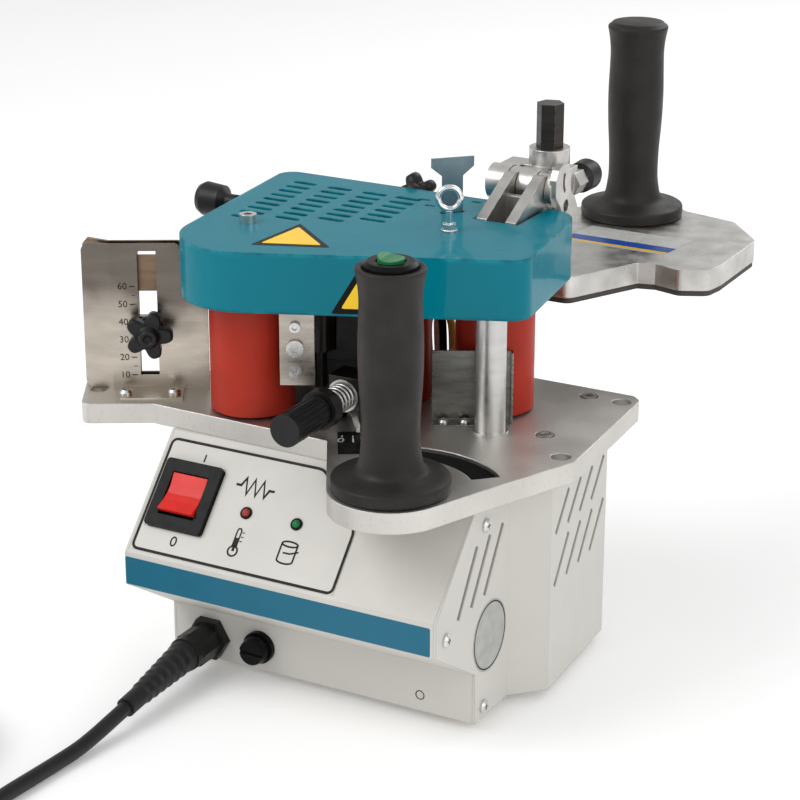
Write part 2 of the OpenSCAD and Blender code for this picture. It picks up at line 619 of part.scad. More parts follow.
module guard_frame() translate([-55.5, 99, 0]) rotate(28.5) children();
module roller_guard() at_datum() color("#9da1a3") guard_frame() difference() {
    union() {
        block([0, 42], [0, 1.2], [deck_top, deck_top + 39]);
        block([40.8, 42], [-4, 0.5], [deck_top, deck_top + 39]);
        block([1, 22], [-9, 1.2], [deck_top, deck_top + 1.2]);
    }
    for (u = guard_u) translate([u, -5, deck_top - 1]) cylinder(r = 1.6, h = 5, $fn = 32);
}
guard_u = [6, 17];

// Steel bracket that holds the band shear in front of the feed roller
module shear_frame() translate([-123.2, 58.5, 0]) rotate(28.5) children();
module shear_bracket() at_datum() color("#a7a39b") shear_frame() difference() {
    union() {
        block([0, 18], [0, 3], [deck_top + 21, upper_z]);
        block([16, 18], [0, 10], [deck_top + 21, upper_z]);
        block([0, 18], [3, 10], [upper_z - 3, upper_z]);
        block([3.05, 14.95], [5.55, 9.45], [upper_z, upper_z + upper_t]);
    }
    shear_holes(-1, 6);
}
shear_hole = [[32, 1.6], [43.5, 2.6], [56, 1.9]];
module shear_holes(y, l) for (p = shear_hole) translate([8, y, deck_top + 85 - p[0]])
    rotate([-90, 0, 0]) cylinder(r = p[1], h = l, $fn = 32);
module cap_screws() at_datum() color("#dcdee0") {
    for (p = deck_screw_at) translate([p[0], p[1], deck_top - 4]) cap_screw(4.4, 4.4, 2.5, 14);
    shear_frame() for (p = shear_hole) translate([8, 0, deck_top + 85 - p[0]]) rotate([90, 0, 0])
        cap_screw(p[1]*1.75, 2.2, p[1] - fit, 5);
    translate([cover_screw_at[0], cover_screw_at[1], cover_top]) cap_screw(4.6, 4.6, 2.5, 21);
    for (p = arm_screw_at) translate([p[0], p[1], upper_z + upper_t + 6]) cap_screw(4.2, 4, 2.5, 11);
}
// Pressure adjuster: knurled knob, spring and block; the axis runs along Y
adjust_at = [-93.5, 154];
module adjuster_knob() at_datum() color("#242425") translate([adjust_at[0], 14, adjust_at[1]])
    rotate([-90, 0, 0]) {
        difference() {
            cylinder(r = 8.6, h = 30, $fn = 96);
            for (k = [0:17]) rotate(20*k) translate([8.9, 0, 3]) cylinder(r = 0.8, h = 30, $fn = 16);
        }
        translate([0, 0, 30]) cylinder(r1 = 8.6, r2 = 7, h = 3, $fn = 64);
        translate([0, 0, 33]) cylinder(r = 10.5, h = 7, $fn = 64);
        translate([0, 0, 40]) cylinder(r = 3.4, h = 33, $fn = 48);
    }
module adjuster_spring() at_datum() color("#b9bcbe") translate([adjust_at[0], 54.6, adjust_at[1]])
    rotate([-90, 0, 0]) {
        for (k = [0:4]) translate([0, 0, 2.4 + 3.3*k]) rotate_extrude($fn = 64)
            translate([6.6, 0]) circle(0.9, $fn = 24);
        for (z = [0, 17.2]) translate([0, 0, z]) difference() {
            cylinder(r = 8.8, h = 1, $fn = 64);
            translate([0, 0, -1]) cylinder(r = 3.8, h = 4, $fn = 48);
        }
        for (a = [0, 120, 240]) rotate(a) translate([6.6, 0, 0.8]) cylinder(r = 0.5, h = 16.6, $fn = 16);
    }
module adjuster_block() at_datum() color("#5a5d60") difference() {
    union() {
        block([adjust_at[0] - 9, adjust_at[0] + 9], [73.2, 89], [deck_top + 8, 164]);
        block([adjust_at[0] - 9, adjust_at[0] - 5.5], [73.2, 86], [deck_top, deck_top + 8]);
    }
    translate([adjust_at[0], 72, adjust_at[1]]) rotate([-90, 0, 0]) cylinder(r = 3.4 + fit, h = 20, $fn = 48);
}
// Glue flow lever over its dial
flow_pivot = [-100, 92];
flow_angle = -54.5;
module flow_lever() at_datum() color("#e8e8e6") translate([flow_pivot[0], flow_pivot[1], 0]) {
    translate([0, 0, deck_top - 5.8]) cylinder(r = 2, h = 8.2, $fn = 32);
    translate([0, 0, deck_top + 2.4]) cylinder(r = 4, h = 1.6, $fn = 48);
    rotate(flow_angle) translate([2, -1.4, deck_top + 2.4]) cube([30, 2.8, 1.6]);
    rotate(flow_angle) translate([31, -0.9, deck_top + 1.6]) cube([5, 1.8, 2.4]);
}
module dial_plate() at_datum() color("#1b1b1d") translate([0, 0, deck_top]) linear_extrude(0.8)
    polygon([[-90, 60], [-80, 66], [-65, 41], [-75, 35]]);

// Feet of the guide plates: places of their screws along the guide
front_foot_u = [7.6, 33.4];
back_foot_u = [9, 31];
module guide_sheet(plan, elevation) intersection() {
    linear_extrude(guide_h) polygon(plan);
    translate([0, 40, 0]) rotate([90, 0, 0]) linear_extrude(80) polygon(elevation);
}
module guide_front_plate() at_datum() color("#a39c92") on_guide() difference() {
    union() {
        guide_sheet([[52, 0], [52, guide_t], [0, guide_t], [-14.6, 5.4], [-15, 4], [0, 0]],
                    [[-15, 4], [-12, 0], [52, 0], [52, 60], [38.5, 60], [38.5, guide_h - 3],
                     [37, guide_h - 0.8], [35, guide_h], [-11, guide_h], [-13.5, guide_h - 1],
                     [-15, guide_h - 4]]);
        block([5, 38.5], [-19, 0.5], [0, 2]);
    }
    block(slot_u, [-5, 5], slot_w);
    for (u = front_foot_u) translate([u, -11.5, -1]) cylinder(r = 2.1, h = 5, $fn = 32);
}
module guide_back_plate() at_datum() color("#8f8478") on_guide() difference() {
    union() {
        guide_sheet([[40, 6], [40, 7.5], [-0.4, 7.5], [-14.5, 15.7], [-15.2, 14.4], [0, 6]],
                    [[-16, 0], [40, 0], [40, guide_h - 3], [38.5, guide_h - 0.8], [36.5, guide_h],
                     [-12, guide_h], [-16, guide_h - 5]]);
        block([4, 36], [7, 18], [0, 2]);
    }
    block(slot_u, [4, 9], [slot_w[0], 54]);
    block(slot_u, [4, 9], [74, slot_w[1]]);
    for (u = back_foot_u) translate([u, 13, -1]) cylinder(r = 2.1, h = 5, $fn = 32);
}
module guide_screws() at_datum() color("#d4d6d8") {
    on_guide() for (u = front_foot_u) translate([u, -11.5, 2]) pan_screw(3.6, 2.4, 1.95, 9);
    on_guide() for (u = back_foot_u) translate([u, 13, 2]) pan_screw(3.6, 2.4, 1.95, 9);
    guard_frame() for (u = guard_u) translate([u, -5, deck_top + 1.2]) pan_screw(2.9, 1.9, 1.45, 8);
}
// Stop that sets the band height; its stud passes through the slot to the star knob
module height_stop() at_datum() color("#87898a") on_guide() {
    block([11, 35], [2, 5.6], [stop_w - 5, stop_w + 6]);
    translate([stop_u, 2.2, stop_w]) rotate([90, 0, 0]) cylinder(r = 3, h = 11, $fn = 32);
    translate([stop_u, -0.3, stop_w]) rotate([90, 0, 0]) cylinder(r = 7.5, h = 1.2, $fn = 48);
}
module guide_knob() at_datum() color("#1f1f20") on_guide() translate([stop_u, -1.8, stop_w])
    rotate([90, 0, 0]) star_knob(13, 14, 5, 3 + fit);

module side_knob() at_datum() color("#1f1f20") translate([-198, side_knob_at[0], side_knob_at[1]])
    rotate([0, -90, 0]) {
        translate([0, 0, -20]) cylinder(r = 2.15, h = 22, $fn = 32);
        rotate_extrude($fn = 64) polygon([[0, 0], [4.5, 0], [4.5, 6], [8.6, 9], [9.5, 20], [8, 23], [0, 23]]);
    }
module rear_knob() at_datum() color("#1f1f20") translate([rear_knob_at[0], 190.5, rear_knob_at[1]])
    rotate([-90, 0, 0]) {
        translate([0, 0, -15]) cylinder(r = 2.15, h = 22, $fn = 32);
        star_knob(12, 13, 5, 2.15);
    }

// Cast bracket bolted to the upper plate; its two ribs carry the tilt axis
module along_x(x, r, l) translate([x, tilt_y, tilt_z]) rotate([0, 90, 0]) cylinder(r = r, h = l, $fn = 64);
module arm_bracket() at_datum() color("#b3b6b6") difference() {
    union() {
        block([rib_x[0], rib_x[1] + rib_t], [154, 186], [upper_z + upper_t, upper_z + upper_t + 6]);
        for (x = rib_x) {
            translate([x, 0, 0]) rotate([90, 0, 90]) linear_extrude(rib_t)
                polygon([[152.5, upper_z + upper_t], [186, upper_z + upper_t], [200, tilt_z - 8],
                         [200, tilt_z], [191, tilt_z + 8.2], [186, tilt_z + 9], [152.5, cover_top + 0.5]]);
            along_x(x, knuckle_r - 0.5, rib_t);
        }
        block([rib_x[0] + 1, rib_x[1] + 1], [176, 180], [upper_z + upper_t, tilt_z - 1]);
    }
    along_x(rib_x[0] - 5, shaft_r + fit, 40);
    for (p = arm_screw_at) translate([p[0], p[1], upper_z]) cylinder(r = 2.6, h = 20, $fn = 32);
}

// Tilting block: knuckles beside and between the ribs, a cross beam and the clamp collar
arm_x = [-70, -31];
clamp_z = tilt_z - 2;
module arm_block() at_datum() color("#b9bcbc") difference() {
    union() {
        for (x = [[arm_x[0], rib_x[0] - gap], [rib_x[0] + rib_t + gap, rib_x[1] - gap],
                  [rib_x[1] + rib_t + gap, arm_x[1]]]) {
            along_x(x[0], knuckle_r, x[1] - x[0]);
            block(x, [tilt_y, tilt_y + 13], [tilt_z - 7, tilt_z + 8]);
        }
        along_x(arm_x[0] - 1, shaft_r, arm_x[1] - arm_x[0] + 1);
        block(arm_x, [tilt_y + 11.5, tilt_y + 24], [tilt_z - 7, tilt_z + 8]);
        // Boss that the clamp knob seats on
        translate([clamp_x, tilt_y + 20, clamp_z]) rotate([-90, 0, 0]) cylinder(r = 7, h = 10.7, $fn = 6);
        // End plate with the tilt slot, and its tail behind the cover
        translate([arm_x[1] - 1, tilt_y, tilt_z]) rotate([90, 0, 90]) linear_extrude(4)
            polygon([[-9, -2], [-9, 7], [-6, 12], [0, 14.3], [7, 13], [9.5, 8], [9.5, -2], [15, -7],
                     [22, -19], [19, -22.5], [13, -21], [7, -15.5], [0, -14], [-3.5, -8]]);
        translate([rod_at[0], rod_at[1], tilt_z - 12])
            cylinder(r = collar_r, h = collar_top - tilt_z + 12, $fn = 64);
    }
    translate([rod_at[0], rod_at[1], tilt_z - 40]) rotate(15)
        cylinder(r = (rod_flats + 0.3)/sqrt(3), h = 80, $fn = 6);
    translate([clamp_x, tilt_y + 14, clamp_z]) rotate([-90, 0, 0]) cylinder(r = 2.5 + fit, h = 30, $fn = 32);
    translate([arm_x[1] - 3, tilt_y + 4, tilt_z - 9.5]) rotate([0, 90, 0]) cylinder(r = 3.4, h = 10, $fn = 32);
    translate([arm_x[1] + 0.5, tilt_y + 11, tilt_z + 4]) rotate([90, 0, 90]) linear_extrude(9)
        intersection() {
            difference() {
                circle(11.6, $fn = 64);
                circle(8.8, $fn = 64);
            }
            polygon([[0, 0], [-20, 11], [-20, -13]]);
        }
}

module clamp_knob() at_datum() color("#222223") translate([clamp_x, tilt_y + 31, clamp_z])
    rotate([-90, 0, 0]) {
        rotate_extrude($fn = 64) polygon([[0, 0], [5.6, 0], [8.4, 3], [8.7, 13], [7.6, 16], [0, 16]]);
        translate([0, 0, -15]) cylinder(r = 2.5, h = 16, $fn = 32);
    }

module hex_rod() at_datum() color("#3a3432") translate([rod_at[0], rod_at[1], shoe_top])
    rotate(15) cylinder(r = rod_flats/sqrt(3), h = rod_top - shoe_top, $fn = 6);

module shoe_outline(inset) offset(delta = -inset) union() {
    offset(r = 7, $fn = 32) offset(delta = -7)
        polygon([[-80, 199], [-25, 199], [-3, 243], [6.5, 245.5], [22, 241.5], [37, 249], [39, 262],
                 [38.5, 315], [14, 344.5], [-5, 349], [-22, 353], [-46, 356], [-80, 330]]);
    translate(rear_grip_at) circle(33, $fn = 96);
}
module shoe_plate() at_datum() color("#a6a9ac") difference() {
    translate([0, 0, shoe_z]) linear_extrude(shoe_t) shoe_outline(0);
    translate([rear_grip_at[0], rear_grip_at[1], shoe_z - 1]) cylinder(r = 6, h = shoe_t + 2, $fn = 32);
}
module shoe_pad() at_datum() color("#3c342e") translate([0, 0, shoe_z - pad_t]) linear_extrude(pad_t)
    shoe_outline(0.6);
module rear_grip() at_datum() color("#3b3835") translate([rear_grip_at[0], rear_grip_at[1], shoe_top]) {
    grip_body(9.5);
    translate([0, 0, grip_h - 4]) rotate_extrude($fn = 96)
        polygon([[0, 2], [16.2, 2], [15.6, 3.6], [13, 5], [0, 5]]);
}
module rear_grip_core() at_datum() color("#8a8d90") translate([rear_grip_at[0], rear_grip_at[1], shoe_top]) {
    cylinder(r = 9.3, h = grip_h - 8, $fn = 64);
    translate([0, 0, -shoe_t]) cylinder(r = 5.9, h = shoe_t, $fn = 48);
}

// Gland with a tapered strain relief that ends in line with the cord's first point
module cable_gland() at_datum() color("#1e1f20") translate(gland_at) rotate([90, 0, 0]) {
    cylinder(r = 12.5, h = 5, $fn = 6);
    translate([0, 0, 5]) cylinder(r = 10.2, h = 16, $fn = 8);
    translate([0, 0, 21]) cylinder(r = 9.4, h = 5, $fn = 48);
    translate([0, 0, -12]) cylinder(r = 6.9, h = 12, $fn = 48);
}
// Tapered, ribbed strain relief between the gland and the cord
module strain_relief() at_datum() color("#232324")
    translate([gland_at[0], gland_at[1] - 26, gland_at[2]]) rotate([90 + relief_drop, 0, 0]) difference() {
        rotate_extrude($fn = 48) polygon(concat([[0, -2]], [[8.6, -2]],
            [for (k = [0:6], e = [0, 1]) [8.6 - 0.42*k - 0.7*e, 4 + 6*k + 2*e]],
            [[5.3, relief_l], [0, relief_l]]));
        translate([-12, -12, -4]) rotate([-relief_drop, 0, 0]) cube([24, 26, 4]);
    }
// Tube swept along points, with a ring at each
function unit(v) = v/norm(v);
function catmull(p, i, t) = let(a = p[max(i - 1, 0)], b = p[i], c = p[i + 1], d = p[min(i + 2, len(p) - 1)])
    0.5*(2*b + (c - a)*t + (2*a - 5*b + 4*c - d)*t*t + (3*b - a - 3*c + d)*t*t*t);
function smooth(p, n) = [for (i = [0:len(p) - 2], k = [0:n - 1]) catmull(p, i, k/n), p[len(p) - 1]];
function ring(p, i, r, sides) = let(d = unit(p[min(i + 1, len(p) - 1)] - p[max(i - 1, 0)]),
    e = unit(cross(d, [0, 0, 1])), f = cross(e, d))
    [for (k = [0:sides - 1]) p[i] + r*(e*cos(360*k/sides) + f*sin(360*k/sides))];
module tube(p, r, sides) {
    n = len(p);
    points = [for (i = [0:n - 1]) each ring(p, i, r, sides)];
    faces = concat([[for (k = [0:sides - 1]) k]],
        [for (i = [0:n - 2], k = [0:sides - 1]) each [
            [i*sides + k, (i + 1)*sides + k, (i + 1)*sides + (k + 1)%sides],
            [i*sides + k, (i + 1)*sides + (k + 1)%sides, i*sides + (k + 1)%sides]]],
        [[for (k = [sides - 1:-1:0]) (n - 1)*sides + k]]);
    polyhedron(points, faces, convexity = 6);
}
module mains_cord() at_datum() color("#2a2a2c") tube(smooth(cord_route, 2), cord_r, 10);
module cord_coil() at_datum() color("#2a2a2c") translate([coil_at[0], coil_at[1], floor_z])
    rotate_extrude($fn = 96) translate([coil_r - coil_rows*cord_r, 0]) square(coil_rows*cord_d);

// Plug on the end of the cord, lying beside the coil
module mains_plug() at_datum() color("#26262a")
    translate([coil_at[0] - coil_r - cord_d, coil_at[1] + 22, floor_z + 18.6]) rotate([-90, 0, 0]) {
        rotate_extrude($fn = 64) polygon([[0, 0], [5.4, 0], [7.5, 24], [12, 27], [17, 34], [18.5, 44],
                                          [18.5, 64], [17.5, 66], [0, 66]]);
        for (x = [-9.5, 9.5]) translate([x, 0, 66]) cylinder(r = 2.4, h = 19, $fn = 32);
    }
base_plate();
body_shell();
front_cover();
bottom_cover();
rubber_feet();
deck_posts();
housing_screws();
panel_label();
switch_bezel();
power_rocker();
indicator_lenses();
fuse_holder();
fuse_cap();
front_grip();
front_grip_core();
grip_switch_bezel();
grip_rocker();
pillars();
upper_plate();
top_cover();
eyebolt();
glue_pot();
glue_gate();
glue_roller();
feed_roller_core();
feed_roller_sleeve();
press_roller_core();
press_roller_sleeve();
gear_motor();
motor_pinion();
idler_roller();
control_board();
roller_guard();
shear_bracket();
cap_screws();
adjuster_knob();
adjuster_spring();
adjuster_block();
flow_lever();
dial_plate();
guide_front_plate();
guide_back_plate();
guide_screws();
height_stop();
guide_knob();
side_knob();
rear_knob();
arm_bracket();
arm_block();
clamp_knob();
hex_rod();
shoe_plate();
shoe_pad();
rear_grip();
rear_grip_core();
cable_gland();
strain_relief();
mains_cord();
cord_coil();
mains_plug();
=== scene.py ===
"""Looks of the portable edge banding machine: camera, cord, materials, built pieces, light."""
import math
import bmesh
import bpy
from mathutils import Matrix, Vector


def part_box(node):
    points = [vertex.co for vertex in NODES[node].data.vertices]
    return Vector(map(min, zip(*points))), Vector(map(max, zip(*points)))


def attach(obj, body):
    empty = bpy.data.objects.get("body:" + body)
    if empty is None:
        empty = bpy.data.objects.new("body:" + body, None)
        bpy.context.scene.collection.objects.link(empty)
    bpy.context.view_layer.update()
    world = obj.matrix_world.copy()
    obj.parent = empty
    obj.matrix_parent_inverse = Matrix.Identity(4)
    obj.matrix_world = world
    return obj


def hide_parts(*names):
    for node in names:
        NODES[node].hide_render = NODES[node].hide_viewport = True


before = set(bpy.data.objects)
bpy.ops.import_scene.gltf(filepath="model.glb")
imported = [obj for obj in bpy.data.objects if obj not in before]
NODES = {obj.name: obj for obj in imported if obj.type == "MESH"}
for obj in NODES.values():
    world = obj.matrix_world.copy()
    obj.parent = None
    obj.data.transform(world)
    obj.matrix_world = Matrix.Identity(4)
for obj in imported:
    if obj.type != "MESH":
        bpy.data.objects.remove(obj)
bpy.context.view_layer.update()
MM = 0.001

# The datum that every size below is given from: the housing's right side, nose and bottom.
HOUSING_W, HOUSING_D = 184, 182
PANEL_DEPTH, PANEL_RISE = 47.7, 52.5
shell_low, shell_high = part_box("body_shell")
DATUM = Vector((shell_low[0] + HOUSING_W*MM, shell_high[1] - HOUSING_D*MM, shell_low[2]))
FLOOR = -DATUM.z/MM
DECK_TOP, COVER_TOP, SHOE_TOP = 138, 234, 193.5
NOSE_Z = 74.5
PANEL_TILT = math.atan2(PANEL_RISE, PANEL_DEPTH)


def place(x, y, z):
    """A point in metres from a point in millimetres from the datum."""
    return DATUM + Vector((x, y, z))*MM


def frame_at(x, y, z, across=(1, 0, 0), up=(0, 0, 1)):
    """A drawing plane in millimetres: its x runs across, its y runs up, its z stands out of it."""
    a, u = Vector(across).normalized(), Vector(up).normalized()
    n = a.cross(u)
    turn = Matrix((a, u, n)).transposed().to_4x4()
    return Matrix.Translation(place(x, y, z)) @ turn @ Matrix.Scale(MM, 4)


# Camera ---------------------------------------------------------------------------------------
CAMERA_AZIMUTH, CAMERA_ELEVATION, CAMERA_ROLL = 28.696, 20.443, 0.092
CAMERA_DISTANCE, CAMERA_RIGHT, CAMERA_UP, LENS = 1203.94, -17.5, 180.01, 108.6


def make_camera():
    """The camera on a sphere round the datum, shifted across and up in its own plane."""
    a, e, r = (math.radians(v) for v in (CAMERA_AZIMUTH, CAMERA_ELEVATION, CAMERA_ROLL))
    back = Vector((math.sin(a)*math.cos(e), -math.cos(a)*math.cos(e), math.sin(e)))
    level = Vector((math.cos(a), math.sin(a), 0))
    rise = back.cross(level)
    right = level*math.cos(r) + rise*math.sin(r)
    up = rise*math.cos(r) - level*math.sin(r)
    camera = bpy.data.objects.new("camera", bpy.data.cameras.new("camera"))
    bpy.context.scene.collection.objects.link(camera)
    spot = place(*(back*CAMERA_DISTANCE + right*CAMERA_RIGHT + up*CAMERA_UP))
    camera.matrix_world = Matrix.Translation(spot) @ Matrix((right, up, back)).transposed().to_4x4()
    camera.data.lens = LENS
    camera.data.sensor_width = 36
    camera.data.clip_start = 0.05
    camera.data.clip_end = 20
    bpy.context.scene.camera = camera


make_camera()


# Materials ------------------------------------------------------------------------------------
MATERIALS = {}


def material(name, color, rough, metal=0.0, spread=0.05, grain=60, bump=0.08, bump_grain=1500,
             depth=0.0001, edge=0.4, wear_and_highlight=0.0, wear_and_highlight_color=(0.7, 0.7, 0.7), rough_spread=0.06,
             streak=(1, 1, 1), coat=0.0, coat_rough=0.1, specular=0.5, speck=0.0, glow=0.0):
    """A surface with colour and roughness that vary, a fine bump, rounded edges, and colour on its edges:
    edge wear, and on the teal cover a painted highlight.
    """
    if name in MATERIALS:
        return MATERIALS[name]
    m = bpy.data.materials.new(name)
    m.use_nodes = True
    tree = m.node_tree
    nodes, link = tree.nodes, tree.links.new
    shader = nodes["Principled BSDF"]
    shader.inputs["Metallic"].default_value = metal
    shader.inputs["Coat Weight"].default_value = coat
    shader.inputs["Coat Roughness"].default_value = coat_rough
    shader.inputs["Specular IOR Level"].default_value = specular
    if glow:
        shader.inputs["Emission Color"].default_value = (*color, 1)
        shader.inputs["Emission Strength"].default_value = glow
    where = nodes.new("ShaderNodeTexCoord")
    stretch = nodes.new("ShaderNodeMapping")
    stretch.inputs["Scale"].default_value = streak
    link(where.outputs["Object"], stretch.inputs["Vector"])

    def noise(scale, detail=4):
        n = nodes.new("ShaderNodeTexNoise")
        n.inputs["Scale"].default_value = scale
        n.inputs["Detail"].default_value = detail
        link(stretch.outputs[0], n.inputs["Vector"])
        return n.outputs["Fac"]

    def ranged(value, low, high, from_low=0.3, from_high=0.7):
        r = nodes.new("ShaderNodeMapRange")
        r.inputs["From Min"].default_value = from_low
        r.inputs["From Max"].default_value = from_high
        r.inputs["To Min"].default_value = low
        r.inputs["To Max"].default_value = high
        link(value, r.inputs["Value"])
        return r.outputs["Result"]

    def mixed(factor, a, b):
        x = nodes.new("ShaderNodeMix")
        x.data_type = "RGBA"
        link(factor, x.inputs["Factor"])
        for value, socket in ((a, "A"), (b, "B")):
            target = [s for s in x.inputs if s.name == socket and s.type == "RGBA"][0]
            if isinstance(value, tuple):
                target.default_value = (*value, 1)
            else:
                link(value, target)
        return [s for s in x.outputs if s.type == "RGBA"][0]

    dark, light = (tuple(min(1, c*(1 + s*spread)) for c in color) for s in (-1, 1))
    tone = mixed(ranged(noise(grain), 0, 1), dark, light)
    roughness = ranged(noise(grain*1.7, 5), max(0.02, rough - rough_spread), rough + rough_spread)
    if speck:
        spots = ranged(noise(bump_grain*0.6, 2), 0, speck, 0.62, 0.7)
        tone = mixed(spots, tone, tuple(c*0.45 for c in color))
    round_edge = nodes.new("ShaderNodeBevel")
    round_edge.samples = 4
    round_edge.inputs["Radius"].default_value = edge*MM
    # Edge colour: wear on most parts, and a painted highlight along the teal cover's rim.
    if wear_and_highlight:
        geometry = nodes.new("ShaderNodeNewGeometry")
        dot = nodes.new("ShaderNodeVectorMath")
        dot.operation = "DOT_PRODUCT"
        link(round_edge.outputs["Normal"], dot.inputs[0])
        link(geometry.outputs["Normal"], dot.inputs[1])
        wear_and_highlight_mask = nodes.new("ShaderNodeMath")
        wear_and_highlight_mask.operation = "MULTIPLY"
        link(ranged(dot.outputs["Value"], wear_and_highlight, 0, 0.86, 0.995), wear_and_highlight_mask.inputs[0])
        link(ranged(noise(grain*4), 0, 1, 0.42, 0.6), wear_and_highlight_mask.inputs[1])
        tone = mixed(wear_and_highlight_mask.outputs["Value"], tone, wear_and_highlight_color)
    link(tone, shader.inputs["Base Color"])
    link(roughness, shader.inputs["Roughness"])
    raised = nodes.new("ShaderNodeBump")
    raised.inputs["Strength"].default_value = bump
    raised.inputs["Distance"].default_value = depth
    link(noise(bump_grain, 3), raised.inputs["Height"])
    link(round_edge.outputs["Normal"], raised.inputs["Normal"])
    link(raised.outputs["Normal"], shader.inputs["Normal"])
    MATERIALS[name] = m
    return m


def smoke(m, color, low, high):
    """Paints a dark reflection on a metal, darker towards its top with an uneven edge: `low` and `high` are
    world heights.
    """
    cloud_size, cloud_reach = 28, 0.05
    tree = m.node_tree
    shader = tree.nodes["Principled BSDF"]
    base = shader.inputs["Base Color"].links[0].from_socket
    where = tree.nodes.new("ShaderNodeNewGeometry")
    split = tree.nodes.new("ShaderNodeSeparateXYZ")
    tree.links.new(where.outputs["Position"], split.inputs["Vector"])
    cloud = tree.nodes.new("ShaderNodeTexNoise")
    cloud.inputs["Scale"].default_value = cloud_size
    tree.links.new(where.outputs["Position"], cloud.inputs["Vector"])
    height = tree.nodes.new("ShaderNodeMath")
    height.operation = "MULTIPLY_ADD"
    height.inputs[1].default_value = cloud_reach
    tree.links.new(cloud.outputs["Fac"], height.inputs[0])
    tree.links.new(split.outputs["Z"], height.inputs[2])
    fade = tree.nodes.new("ShaderNodeMapRange")
    fade.inputs["From Min"].default_value = low + cloud_reach/2
    fade.inputs["From Max"].default_value = high + cloud_reach/2
    fade.inputs["To Max"].default_value = 0.8
    tree.links.new(height.outputs["Value"], fade.inputs["Value"])
    blend = tree.nodes.new("ShaderNodeMix")
    blend.data_type = "RGBA"
    tree.links.new(fade.outputs["Result"], blend.inputs["Factor"])
    first, second = [q for q in blend.inputs if q.type == "RGBA"]
    tree.links.new(base, first)
    second.default_value = (*color, 1)
    result = [q for q in blend.outputs if q.type == "RGBA"][0]
    tree.links.new(result, shader.inputs["Base Color"])


# Heights over which the guide plate's painted dark reflection fades in.
GUIDE_DARK_REFLECTION_LOW, GUIDE_DARK_REFLECTION_HIGH = (DATUM.z + w*MM for w in (172, 194))


def housing_paint():
    return material("housing_paint", (0.60, 0.585, 0.545), 0.45, spread=0.025, grain=25, bump=0.35,
                    bump_grain=1400, edge=0.9, wear_and_highlight=0.25, wear_and_highlight_color=(0.45, 0.44, 0.42), specular=0.35)


def cast_aluminium():
    return material("cast_aluminium", (0.56, 0.545, 0.52), 0.36, metal=1, spread=0.16, grain=60, bump=0.55,
                    bump_grain=800, edge=0.7, wear_and_highlight=0.9, wear_and_highlight_color=(0.88, 0.87, 0.85), rough_spread=0.1,
                    speck=0.25)


def deck_aluminium():
    return material("deck_aluminium", (0.64, 0.62, 0.585), 0.44, metal=1, spread=0.07, grain=22, bump=0.6,
                    bump_grain=900, edge=0.8, wear_and_highlight=0.9, wear_and_highlight_color=(0.88, 0.86, 0.83), speck=0.2)


def bright_steel():
    return material("bright_steel", (0.58, 0.575, 0.56), 0.34, metal=1, spread=0.06, grain=30, bump=0.2,
                    bump_grain=500, edge=0.3, streak=(1, 1, 9))


def zinc():
    return material("zinc", (0.66, 0.66, 0.64), 0.27, metal=1, spread=0.1, grain=200, bump=0.15, edge=0.2)


def sheet_steel():
    return material("sheet_steel", (0.44, 0.40, 0.35), 0.27, metal=1, spread=0.14, grain=14, bump=0.25,
                    bump_grain=350, edge=0.4, wear_and_highlight=0.7, wear_and_highlight_color=(0.75, 0.72, 0.68), streak=(2, 2, 14))


def guard_steel():
    return material("guard_steel", (0.20, 0.20, 0.185), 0.3, metal=1, spread=0.22, grain=30, bump=0.25,
                    bump_grain=350, edge=0.5, wear_and_highlight=0.9, wear_and_highlight_color=(0.7, 0.68, 0.64), streak=(2, 2, 10))


def guide_steel():
    """The guide's plate: bright at its foot and its left side, with a dark reflection painted on towards
    the top.
    """
    m = material("guide_steel", (0.50, 0.45, 0.385), 0.3, metal=1, spread=0.12, grain=14, bump=0.3,
                 bump_grain=700, edge=0.4, wear_and_highlight=0.8, wear_and_highlight_color=(0.8, 0.77, 0.72), streak=(2, 2, 10))
    # Painted reflection: the plate's top is darkened as if it mirrored dark surroundings.
    smoke(m, (0.075, 0.062, 0.052), GUIDE_DARK_REFLECTION_LOW, GUIDE_DARK_REFLECTION_HIGH)
    return m


def tinted_steel():
    return material("tinted_steel", (0.22, 0.15, 0.10), 0.33, metal=1, spread=0.2, grain=14, bump=0.25,
                    bump_grain=350, edge=0.4, wear_and_highlight=0.6, wear_and_highlight_color=(0.5, 0.42, 0.34), streak=(2, 2, 14))


def dark_steel():
    return material("dark_steel", (0.05, 0.044, 0.040), 0.36, metal=1, spread=0.18, grain=40, bump=0.3,
                    bump_grain=500, edge=0.4, wear_and_highlight=0.8, wear_and_highlight_color=(0.3, 0.28, 0.26), streak=(1, 1, 8))


def fluted_steel():
    return material("fluted_steel", (0.05, 0.047, 0.044), 0.34, metal=1, spread=0.3, grain=90, bump=0.8,
                    bump_grain=500, depth=0.0004, edge=0.3, streak=(1, 1, 0.05))


def teal_enamel():
    # Its brighter edge colour is a painted highlight along the cover's rounded rim.
    return material("teal_enamel", (0.0, 0.175, 0.235), 0.28, spread=0.03, grain=20, bump=0.1,
                    bump_grain=420, edge=3.4, coat=0.26, coat_rough=0.04, specular=0.03, wear_and_highlight=0.6,
                    wear_and_highlight_color=(0.03, 0.46, 0.54))


def red_rubber():
    return material("red_rubber", (0.40, 0.027, 0.012), 0.46, spread=0.09, grain=50, bump=0.25,
                    bump_grain=900, edge=0.6, wear_and_highlight=0.3, wear_and_highlight_color=(0.55, 0.10, 0.07), specular=0.2)


def grip_rubber():
    return material("grip_rubber", (0.0185, 0.016, 0.014), 0.48, spread=0.3, grain=60, bump=0.8,
                    bump_grain=1300, edge=0.5, specular=0.26, wear_and_highlight=0.4, wear_and_highlight_color=(0.06, 0.055, 0.05))


